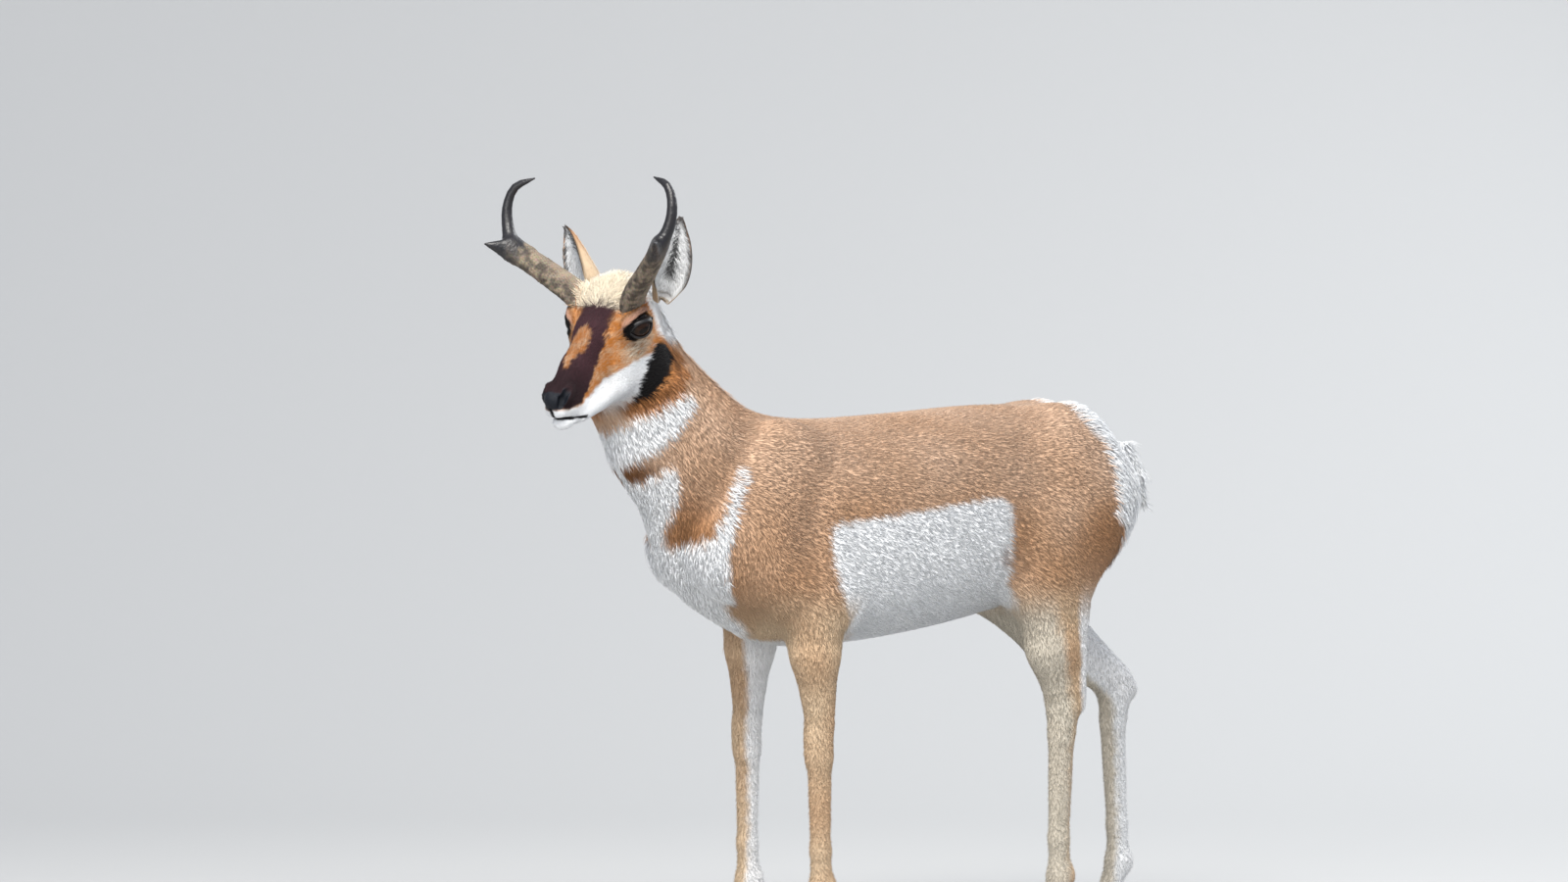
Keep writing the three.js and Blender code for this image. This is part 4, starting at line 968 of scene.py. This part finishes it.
def sow(density, seed):
    """Roots on the skin at even steps of the summed density times area; gives the faces, the places in them
    and the normals there."""
    rng = np.random.default_rng(seed)
    total = np.cumsum(density * face_area)
    at = np.arange(int(total[-1])) + rng.random(int(total[-1]))
    face = np.clip(np.searchsorted(total, at), 0, len(face_area) - 1)
    a, b = rng.random((2, len(face), 1))
    corners, normals = quad[face], skin_normals[skin_faces[face]]
    weights = [(1 - a) * (1 - b), a * (1 - b), a * b, (1 - a) * b]
    root = sum(w * corners[:, k] for k, w in enumerate(weights))
    normal = sum(w * normals[:, k] for k, w in enumerate(weights))
    return face, root, unit(normal), rng


TRUNK_HAIR, LEG_HAIR, FACE_HAIR = 15, 11, 9


def hair_sizes(p):
    """Length, width and lift of the coat in millimetres at points."""
    f, on_head, leg = to_head(p)[:, 0], head_share(p), leg_share(p)
    length = TRUNK_HAIR + 4 * step(-330, -420, p[:, 0]) + 3 * step(300, 400, p[:, 0])
    length += (LEG_HAIR - 6 * step(420, 200, p[:, 2]) - length) * leg
    length += (FACE_HAIR - 4.8 * step(0, 120, f) - 1.8 * step(130, 190, f) - length) * on_head
    width = 1.75 - 0.35 * leg
    width += (1.1 - 0.3 * step(60, 150, f) - width) * on_head
    return length, width, 0.17 + 0.05 * leg + 0.02 * on_head


def hair_rise(p):
    """How far a tuft's tip stands off the skin in millimetres, whatever the form does under it."""
    on_head = head_share(p)
    rise = 1.9 - 0.5 * leg_share(p)
    return rise + (1.1 - 0.4 * step(60, 150, to_head(p)[:, 0]) - rise) * on_head


def is_bald(p):
    """1 where no hair grows: the nose, the lips' edge, the lids and inside the nostrils."""
    m = one_side(p)[0]
    e = eye_axes(m)
    lids = (lens(e[:, 0], e[:, 1]) < 3.0) & (e[:, 2] > 0)
    lip, _ = path_distance(m[:, [0, 2]], MOUTH_LINE)
    pit = limb(NOSTRIL, 1, 4)(m) < 2.5
    return (bare_share(p) > 0.4) | ((lids | (lip < 2.4) | pit) & (head_share(p) > 0.5))


middle_head, middle_leg = head_share(face_middle), leg_share(face_middle)
muzzle_share = step(40, 130, to_head(face_middle)[:, 0]) * middle_head
TRUNK_TUFTS, LEG_TUFTS, FACE_TUFTS, MUZZLE_TUFTS = 0.15, 0.14, 0.3, 0.4
density = TRUNK_TUFTS + (LEG_TUFTS - TRUNK_TUFTS) * middle_leg
density += (FACE_TUFTS + (MUZZLE_TUFTS - FACE_TUFTS) * muzzle_share - density) * middle_head
face, root, normal, rng = sow(density, 11)
keep = ~is_bald(root)
face, root, normal = face[keep], root[keep], normal[keep]
lie = hair_lie(root, normal)
turn = rng.normal(0, 0.1, len(root)) + 0.08 * ripple(root, 70, 21)
lie = turned(lie, normal, turn)
length, width, lift = hair_sizes(root)
length *= rng.uniform(0.7, 1.25, len(root))
width *= rng.uniform(0.75, 1.2, len(root))
lift *= rng.uniform(0.6, 1.4, len(root))
# Two steps bring each tip to its own height over the skin, so none is buried in a hollow
for _ in range(2):
    tip = root + length[:, None] * (lie + normal * (0.5 * lift)[:, None])
    short = hair_rise(root) * lift / lift.mean() - skin_field(tip)
    lift = np.clip(lift + 2 * short / length, 0.05, 1.6)
tint = coat_colour(root) * (1 + 0.05 * rng.normal(size=(len(root), 1))).clip(0.8, 1.2)
uv = bake_place(root, face_chart[face])
on_head, on_leg = head_share(root) > 0.5, leg_share(root) > 0.5
neck_part = (root[:, 0] + 0.5 * (root[:, 2] - 800) > 300) & ~on_head & ~on_leg
rest = ~(on_head | on_leg | neck_part)
left, ahead = root[:, 1] > 0, root[:, 0] > -20
parts = {
    "coat_head": on_head, "coat_forelegs": on_leg & (root[:, 0] > LEG_SPLIT),
    "coat_hindlegs": on_leg & (root[:, 0] <= LEG_SPLIT), "coat_neck": neck_part,
    "coat_shoulder_left": rest & left & ahead, "coat_flank_left": rest & left & ~ahead,
    "coat_shoulder_right": rest & ~left & ahead, "coat_flank_right": rest & ~left & ~ahead,
}
for name, mask in parts.items():
    tuft_piece(name, root[mask], normal[mask], lie[mask], length[mask], width[mask], lift[mask], tint[mask],
               1, uv[mask])


def long_hair(name, density, seed, length, width, lift, rings=3, lie_extra=None, tone=1.0, spread=0.2):
    """A piece of longer bent tufts, sown where its density is over 0."""
    face, root, normal, rng = sow(density, seed)
    lie = hair_lie(root, normal)
    if lie_extra is not None:
        lie = flattened(lie + lie_extra(root), normal)
    lie = turned(lie, normal, rng.normal(0, spread, len(root)))
    sizes = [rng.uniform(low, high, len(root)) for low, high in (length, width, lift)]
    tint = coat_colour(root) * tone * (1 + 0.12 * rng.normal(size=(len(root), 1))).clip(0.6, 1.4)
    return tuft_piece(name, root, normal, lie, *sizes, tint, rings, bake_place(root, face_chart[face]))


# Long hair of the crown, nape and rump
# A low cream tuft fills the crown between the horns, a short tan mane runs down the nape, and the white hair
# of the rump and the throat is longer than the coat beside it.
h_face = to_head(face_middle)
crown_share = (step(6, -10, h_face[:, 0]) * step(14, 24, h_face[:, 2]) * step(-112, -96, h_face[:, 0])
               * step(48, 36, np.abs(h_face[:, 1])) * middle_head)


def crown_lie(p):
    """Back and outwards from the middle of the crown."""
    return (to_head(p) * [0, 0.02, 0] + [-0.2, 0, 0]) @ HEAD_TURN.T


long_hair("crown_tuft", 0.34 * crown_share, 31, (15, 26), (1.0, 1.7), (0.35, 0.8),
          lie_extra=crown_lie, tone=1.04, spread=0.5)
x_face, y_face, z_face = face_middle.T
nape_line = np.interp(z_face, [850, 900, 960, 1040, 1100], [0, 0, 4, 20, 30])
nape_share = (step(18, 8, np.abs(y_face - nape_line)) * (face_normal[:, 2] > 0.1) * (face_normal[:, 0] < 0.4)
              * step(235, 300, x_face) * (1 - crown_share) * (h_face[:, 0] <= -60))
long_hair("nape_mane", 0.2 * nape_share, 32, (12, 24), (1.2, 2.0), (0.3, 0.6), tone=0.95)
rump_share = step(-8, 6, within(x_face, z_face, RUMP)) * (z_face > 600)
long_hair("rump_hair", 0.085 * rump_share, 33, (16, 30), (1.7, 2.8), (0.22, 0.5), spread=0.22)
breast_share = (step(-8, 6, np.maximum(within(x_face, z_face, BREAST), within(x_face, z_face, THROAT)))
                * (1 - middle_head) * (1 - middle_leg))
long_hair("throat_hair", 0.07 * breast_share, 34, (14, 24), (1.6, 2.5), (0.22, 0.45), rings=2, spread=0.22)

# The eyes
# Large dark globes with a clear cornea that swells over the iris, set deep between thick black lids, which
# are a rolled rim of bare skin.


def ring_faces(rows, sides, closed_rows=False):
    """Quads between rows of a grid of points whose every row is a closed ring."""
    i = np.arange(rows if closed_rows else rows - 1)[:, None]
    j = np.arange(sides)[None, :]
    up, right = (i + 1) % rows, (j + 1) % sides
    corners = np.broadcast_arrays(i * sides + j, i * sides + right, up * sides + right, up * sides + j)
    return np.stack(corners, -1).reshape(-1, 4)


def closed_tube(rings):
    """Rings of points as a closed surface: quads between them, and each end drawn together to a point."""
    rows, sides = rings.shape[:2]
    tips = np.repeat(rings[[0, -1]].mean(1)[:, None], sides, 1)
    rings = np.concatenate([tips[:1], rings, tips[1:]])
    return rings.reshape(-1, 3), ring_faces(rows + 2, sides)


def tidy_mesh(obj):
    """Merges points that coincide and turns every face outwards."""
    work = bmesh.new()
    work.from_mesh(obj.data)
    bmesh.ops.remove_doubles(work, verts=work.verts, dist=1e-6)
    bmesh.ops.recalc_face_normals(work, faces=work.faces)
    work.to_mesh(obj.data)
    work.free()
    return obj


def eye_point(a, b, c, side):
    """The animal's axes of points given along the slit, up and outward from an eyeball's centre."""
    f = EYE_COS * a + EYE_SIN * c + EYE_PLACE[0]
    l = -EYE_SIN * a + EYE_COS * c + EYE_PLACE[1]
    return from_head(np.stack([f, side * l, b + EYE_PLACE[2]], -1))


eye_paint, tree, shader = plain_material("eyeball", (0.01, 0.006, 0.004), 0.04)
link(tree, (stored(tree, "Iris"), "Color", shader, "Base Color"))
shader.inputs["Specular IOR Level"].default_value = 0.15
shader.inputs["Coat Weight"].default_value = 0.06
shader.inputs["Coat Roughness"].default_value = 0.02
lid_paint, tree, shader = plain_material("lid_skin", paint(16, 12, 13), 0.4)
place, folds = shader_node(tree, "TexCoord"), shader_node(tree, "TexNoise", Scale=900)
bump = shader_node(tree, "Bump", Strength=0.5, Distance=0.0006)
link(tree, (place, "Object", folds, "Vector"), (folds, "Fac", bump, "Height"),
     (bump, "Normal", shader, "Normal"))


def eyeball(side):
    """A ball with a cornea that swells 1.6 mm over its iris, wider along the slit."""
    polar, around = np.linspace(0, math.pi, 40)[1:-1], np.linspace(0, 2 * math.pi, 72, endpoint=False)
    polar, around = np.meshgrid(polar, around, indexing="ij")
    a, b, c = np.sin(polar) * np.cos(around), np.sin(polar) * np.sin(around), np.cos(polar)
    iris = np.hypot(a / 0.62, b / 0.52)
    radius = EYE_RADIUS + 1.6 * step(1.1, 0.2, iris) * (c > 0)
    points = eye_point(radius * a, radius * b, radius * c, side)
    pupil = step(1.15, 0.95, np.hypot(a / 0.36, b / 0.2))
    brown = step(1.15, 0.9, iris)[..., None]
    colour = paint(34, 18, 8) * brown + paint(14, 9, 8) * (1 - brown)
    return points, colour * (1 - 0.85 * pupil[..., None])


def lid_ring(side):
    """A rolled rim round the almond of the slit: a closed section carried round it over the eyeball."""
    t = np.linspace(-1, 1, 41)
    a = EYE_OPENING[0] * np.sin(t * math.pi / 2)
    b = np.sqrt(LID_ARC ** 2 - a ** 2) - (LID_ARC - EYE_OPENING[1])
    a = np.concatenate([a, a[-2:0:-1]])
    b = np.concatenate([b, -b[-2:0:-1]]) + EYE_SLANT * a
    section = [(0.93, 0.2), (0.97, 1.5), (1.03, 2.6), (1.14, 3.1), (1.3, 2.5), (1.44, 0.6), (1.2, -1)]
    rings = []
    for scale, rise in section:
        u, v = a * scale, b * scale + 0.4 * (scale - 1)
        reach = EYE_RADIUS + rise
        rings.append(eye_point(u, v, np.sqrt(np.maximum(reach ** 2 - u ** 2 - v ** 2, 9)), side))
    rings = np.stack(rings)
    return rings.reshape(-1, 3), ring_faces(len(section), len(a), closed_rows=True)


for name, side in SIDES.items():
    points, colour = eyeball(side)
    tube, faces = closed_tube(points)
    eye = mesh_object(f"eye_{name}_globe", metres(tube), faces)
    sides = points.shape[1]
    ends = np.repeat(colour[[0, -1]].mean(1)[:, None], sides, 1)
    colour_layer(eye, "Iris", np.concatenate([ends[:1], colour, ends[1:]]).reshape(-1, 3))
    tidy_mesh(eye).data.materials.append(eye_paint)
    dress(eye, "eye", f"eye_{name}")
    lid = mesh_object(f"eyelids_{name}", metres(lid_ring(side)[0]), lid_ring(side)[1])
    tidy_mesh(lid).data.materials.append(lid_paint)
    dress(lid, "nose")

# The horns
# Black keratin sheaths over a flat core: a broad rough blade that leans out, a prong forward of it, and a
# smooth hook that turns in and back. Hair and dried mud leave the lower half grey-brown.
HORN_PATH = [[-18, 40, 2], [-28, 54, 33], [-33, 97, 79], [-37, 141, 126], [-64, 158, 152], [-88, 160, 176],
             [-108, 148, 194], [-124, 116, 199]]
PRONG_PATH = [[-42, 122, 108], [-24, 143, 134], [-12, 156, 151], [-3, 165, 163]]
HORN_SIZE = stations([[0, 27, 18], [0.2, 26, 17], [0.42, 24, 14], [0.54, 22, 12.5], [0.62, 12, 10],
                      [0.78, 8.4, 7.6], [0.92, 5.5, 5.5], [1, 1.2, 1.2]])
PRONG_SIZE = stations([[0, 12, 9], [0.4, 18, 8], [0.75, 9, 6], [1, 1.2, 1.2]])


def smooth_path(points, count):
    """A centripetal curve through points, at even steps of its length."""
    p = np.array(points, float)
    p = np.concatenate([[2 * p[0] - p[1]], p, [2 * p[-1] - p[-2]]])
    knots = np.concatenate([[0], np.cumsum(np.linalg.norm(np.diff(p, axis=0), axis=1) ** 0.5)])
    out = []
    for i in range(1, len(p) - 2):
        k = knots[i - 1:i + 3]
        t = np.linspace(k[1], k[2], 24, endpoint=i == len(p) - 3)[:, None]

        def between_knots(ends, low, high):
            return (high - t) / (high - low) * ends[0] + (t - low) / (high - low) * ends[1]

        near = [between_knots(p[i + j - 1:i + j + 1], k[j], k[j + 1]) for j in range(3)]
        wide = [between_knots(near[j:j + 2], k[j], k[j + 2]) for j in range(2)]
        out.append(between_knots(wide, k[1], k[2]))
    out = np.concatenate(out)
    length = np.concatenate([[0], np.cumsum(np.linalg.norm(np.diff(out, axis=0), axis=1))])
    return np.stack([np.interp(np.linspace(0, length[-1], count), length, out[:, k]) for k in range(3)], 1)


def blade(path, sizes, wide, count=26):
    """Distance to a tapered oval rod: off its axis, its width and its depth are measured apart."""
    line = smooth_path(path, count)
    wide = np.array(wide, float)

    def distance(q):
        best = np.full(len(q), 1e9)
        share = np.zeros(len(q))
        for i in range(count - 1):
            along = line[i + 1] - line[i]
            t = np.clip((q - line[i]) @ along / (along @ along), 0, 1)
            away = q - line[i] - t[:, None] * along
            across = wide - (wide @ along) * along / (along @ along)
            across /= np.linalg.norm(across)
            deep = np.cross(along / np.linalg.norm(along), across)
            size = sizes((i + t) / (count - 1))
            d = np.sqrt((away @ across / size[:, 0]) ** 2 + (away @ deep / size[:, 1]) ** 2
                        + (away @ along / np.linalg.norm(along) / size.min(1)) ** 2)
            d = (d - 1) * size.min(1)
            share = np.where(d < best, (i + t) / (count - 1), share)
            best = np.minimum(best, d)
        return best, share

    return distance


beam_shape = blade(HORN_PATH, HORN_SIZE, [1, 0, 0.25])
prong_shape = blade(PRONG_PATH, PRONG_SIZE, [0.7, 0, -0.7], 8)


def horn_field(q):
    """The beam and its prong run together, with long furrows and warts on the lower half."""
    beam, share = beam_shape(q)
    prong, _ = prong_shape(q)
    rough = step(0.62, 0.4, share)
    furrow = ripple(q * [1.6, 1.6, 0.35], 7, 41) * 0.5 + ripple(q, 5, 42) * 0.3
    return smooth_min(beam, prong, 8) + furrow * (0.12 + 0.75 * rough)


HORN_CELL = 2.0
horn_lines = [np.arange(low, high, HORN_CELL) for low, high in ((-142, 22), (12, 182), (-24, 216))]
horn_points, horn_quads = surface_net(horn_field, horn_lines)
_, horn_share = beam_shape(horn_points)
prong_near, prong_share = prong_shape(horn_points)
bare_horn = np.maximum(step(0.44, 0.56, horn_share + 0.03 * ripple(horn_points, 12, 43)),
                       step(5, 0, prong_near) * step(0.3, 0.55, prong_share))
mud = 0.7 + 0.5 * ripple(horn_points * [1.6, 1.6, 0.3], 5, 44) + 0.3 * ripple(horn_points, 26, 46)
horn_low = lay(paint(74, 62, 52), paint(150, 134, 114), mud)
front_edge = step(-2, 10, horn_points[:, 0] + 20 + 0.25 * (horn_points[:, 2] - 30))
horn_low = lay(horn_low, np.zeros(3), 0.7 * front_edge * step(-0.8, 0.6, ripple(horn_points, 18, 45)))
horn_tint = lay(horn_low, paint(27, 25, 28), bare_horn)

horn_paint, tree, shader = plain_material("horn_keratin", (0.02, 0.02, 0.02), 0.5)
horn_read, polish_read = stored(tree, "Keratin"), stored(tree, "Polish")
place, grain = shader_node(tree, "TexCoord"), shader_node(tree, "TexNoise", Scale=260, Detail=6)
mottle = shader_node(tree, "Mix", Factor=0.55)
mottle.data_type, mottle.blend_type = "RGBA", "MULTIPLY"
bump = shader_node(tree, "Bump", Strength=0.7, Distance=0.0012)
gloss = shader_node(tree, "MapRange", To_Min=0.8, To_Max=0.36)
link(tree, (place, "Object", grain, "Vector"), (horn_read, "Color", mottle, "A"),
     (grain, "Color", mottle, "B"), (mottle, "Result", shader, "Base Color"),
     (grain, "Fac", bump, "Height"), (bump, "Normal", shader, "Normal"),
     (polish_read, "Fac", gloss, "Value"), (gloss, "Result", shader, "Roughness"))
for name, side in SIDES.items():
    horn_obj = mesh_object(f"horn_{name}_sheath", metres(from_head(horn_points * [1, side, 1], HORN_TURN)),
                           horn_quads if side > 0 else horn_quads[:, ::-1])
    colour_layer(horn_obj, "Keratin", horn_tint)
    colour_layer(horn_obj, "Polish", np.repeat(bare_horn[:, None], 3, 1))
    horn_obj.data.materials.append(horn_paint)
    dress(horn_obj, "horn", f"horn_{name}")

# The ears
# Leaf-shaped cups of thin gristle, dark at tip and rim. Long white hair lines the cup on both sides of a
# dark streak, and short cinnamon hair covers the back.
EAR_LENGTH = 142
EAR_ROOT = [-86, 54, -14]
EAR_TIPS = {"left": [-141, 108, 106], "right": [-162, 153, 54]}
EAR_FACES = {"left": [0.75, 0.62, 0.08], "right": [0.9, 0.2, 0.3]}
EAR_EDGE = paint(38, 27, 22)
EAR_SHAPE = stations([[0, 15, 150], [0.15, 22, 132], [0.32, 29, 105], [0.55, 30, 84], [0.75, 23, 74],
                      [0.9, 12, 66], [1, 2.5, 60]])


def ear_axes(name):
    """Up the ear, across it and out of its cup, in head axes."""
    side = SIDES[name]
    up = unit((np.array(EAR_TIPS[name]) - EAR_ROOT) * [1, side, 1])
    out = np.array(EAR_FACES[name]) * [1, side, 1]
    out = unit(out - (out @ up) * up)
    return up, np.cross(up, out), out


def ear_point(name, t, v, wall):
    """A point of the cup at share t of its length and v from edge to edge, in from its back by the wall."""
    up, across, out = ear_axes(name)
    width, curl = EAR_SHAPE(t).T
    curl = np.radians(curl)
    radius = width / np.sin(np.minimum(curl, math.pi / 2))
    middle = (np.array(EAR_ROOT) * [1, SIDES[name], 1] + np.outer(t * EAR_LENGTH, up)
              + np.outer(9 * np.sin(math.pi * t) - 10 * t * t, out))
    r = radius - wall
    return (middle + np.outer(r * np.sin(v * curl), across)
            + np.outer(0.5 * radius - r * np.cos(v * curl), out))


def ear_wall(t):
    """How thick the cup is, in millimetres, from 2.2 at its root to 0.8 at its tip."""
    return 2.2 - 1.4 * t


def ear_tint(t, v, inner, noise):
    """White inside with a dark streak, tan behind, and dark at the tip and the rim."""
    streak = step(0.36, 0.14, np.abs(v - 0.12) + 0.12 * noise) * step(0.12, 0.26, t) * step(0.93, 0.8, t)
    cup = lay(WHITE, BLACK, 0.92 * streak)
    rear = lay(PALE_TAN, CINNAMON, step(0.3, 0.9, t))
    colour = np.where(np.asarray(inner)[:, None], cup, rear)
    rim = np.maximum(step(0.9, 0.985, np.abs(v)) * step(0.1, 0.3, t), step(0.82, 0.93, t + 0.03 * noise))
    return lay(colour, EAR_EDGE, 0.9 * rim)


ROWS, STEPS, CUP_TONE = 64, 36, 0.75
for name, side in SIDES.items():
    t = np.repeat(np.linspace(0, 1, ROWS), 2 * STEPS)
    v = np.tile(np.concatenate([np.linspace(-1, 1, STEPS), np.linspace(1, -1, STEPS)]), ROWS)
    inner = np.tile(np.repeat([False, True], STEPS), ROWS)
    wall = np.where(inner, ear_wall(t), 0)
    rings = ear_point(name, t, v, wall).reshape(ROWS, 2 * STEPS, 3)
    points, faces = closed_tube(rings)
    tint = ear_tint(t, v, inner, ripple(rings.reshape(-1, 3), 7, 51)).reshape(ROWS, 2 * STEPS, 3)
    tint = np.concatenate([tint[:1], tint, tint[-1:]]).reshape(-1, 3)
    ear = mesh_object(f"ear_{name}_cup", metres(from_head(points)), faces)
    colour_layer(ear, "Coat", tint * CUP_TONE)
    tidy_mesh(ear).data.materials.append(hair_paint)
    dress(ear, "coat", f"ear_{name}")

    rng = np.random.default_rng(52)
    for part, count, is_inner, size in (("lining", 5200, True, (9, 17)), ("back", 4200, False, (4, 7))):
        t, v = rng.uniform(0.04, 0.985, count), rng.uniform(-0.99, 0.99, count)
        wall = ear_wall(t) * is_inner
        root = ear_point(name, t, v, wall)
        ahead = ear_point(name, t + 0.01, v, wall) - root
        beside = ear_point(name, t, v + 0.01, wall) - root
        normal = unit(np.cross(ahead, beside))
        centre = ear_point(name, t, 0 * v, wall + 12 if is_inner else wall - 12)
        normal *= np.sign(((centre - root) * normal).sum(1))[:, None]
        inward = -np.sign(v) * (0.5 + 0.7 * np.abs(v)) if is_inner else 0.25 * np.sign(v)
        lie = unit(ahead) + (inward * (0.9 if is_inner else 0.4))[:, None] * unit(beside)
        lie = flattened(lie + rng.normal(0, 0.18, lie.shape), normal)
        tint = ear_tint(t, v, np.full(count, is_inner), ripple(root, 7, 51))
        tint *= (1 + 0.12 * rng.normal(size=(count, 1))).clip(0.6, 1.3)
        place = np.stack([0.05 + 0.9 * t, 0.5 + 0.45 * v], 1)
        long = rng.uniform(*size, count) * (1 - 0.5 * step(0.8, 1, t))
        tuft_piece(f"ear_{name}_{part}", from_head(root), normal @ HEAD_TURN.T, lie @ HEAD_TURN.T, long,
                   rng.uniform(0.8, 1.4, count), rng.uniform(0.3, 0.9, count), tint, 2, place)

# The hooves
# Two pointed claws on each foot, of black horn with growth rings that follow the crown. Pronghorns have no
# dewclaws.


def claw(toe, y, outward, rows=26, sides=48):
    """Rings from the flat sole up to the slanted crown, narrower above and flat on the inner side."""
    t = np.linspace(0, 1, rows)[:, None]
    angle = np.linspace(0, 2 * math.pi, sides, endpoint=False)[None]
    bevel = 3 * np.clip(1 - t / 0.08, 0, 1)
    growth = 0.35 * np.sin(t * 60 + 0.8 * np.sin(angle * 2)) * step(0.05, 0.15, t)
    front = toe - (HOOF["lean"] - 3) * t - bevel
    heel = toe - HOOF["length"] - 3 * t + bevel
    width = HOOF["width"] * (1 - 0.12 * t)
    forward = np.cos(angle)
    x = heel + (front - heel) * (forward + 1) / 2 + growth * forward
    out = np.sin(angle) * (1 - 0.4 * np.maximum(forward, 0) ** 2)
    across = out * width * np.where(out > 0, 0.75, 0.25) + growth * np.sign(out) * (out > 0)
    crown = HOOF["heel"] + (HOOF["toe"] - HOOF["heel"]) * (x - toe + HOOF["length"]) / (
        HOOF["length"] - HOOF["lean"])
    return np.stack([x, y + outward * across, t * crown], -1)


hoof_paint, tree, shader = plain_material("hoof_keratin", paint(34, 29, 27), 0.45)
place, stretch = shader_node(tree, "TexCoord"), shader_node(tree, "Mapping", Scale=(60, 60, 420))
grain = shader_node(tree, "TexNoise", Scale=1.0, Detail=5)
ramp = shader_node(tree, "ValToRGB")
for stop, colour in zip(ramp.color_ramp.elements, (paint(20, 17, 16), paint(74, 64, 56))):
    stop.color = (*colour, 1)
bump = shader_node(tree, "Bump", Strength=0.4, Distance=0.0008)
link(tree, (place, "Object", stretch, "Vector"), (stretch, "Vector", grain, "Vector"),
     (grain, "Fac", ramp, "Fac"), (ramp, "Color", shader, "Base Color"),
     (grain, "Fac", bump, "Height"), (bump, "Normal", shader, "Normal"))
for kind, legs in (("foreleg", FORELEGS), ("hindleg", HINDLEGS)):
    for name, side in SIDES.items():
        fetlock = legs[name][2]
        for which, outward in (("inner", -side), ("outer", side)):
            y = fetlock[1] * side + outward * (HOOF["width"] * 0.25 + 1)
            points, faces = closed_tube(claw(fetlock[0] + TOE_REACH, y, outward))
            hoof = mesh_object(f"claw_{kind}_{name}_{which}", metres(points), faces)
            tidy_mesh(hoof).data.materials.append(hoof_paint)
            dress(hoof, "hoof", f"hoof_{kind}_{name}_{which}")
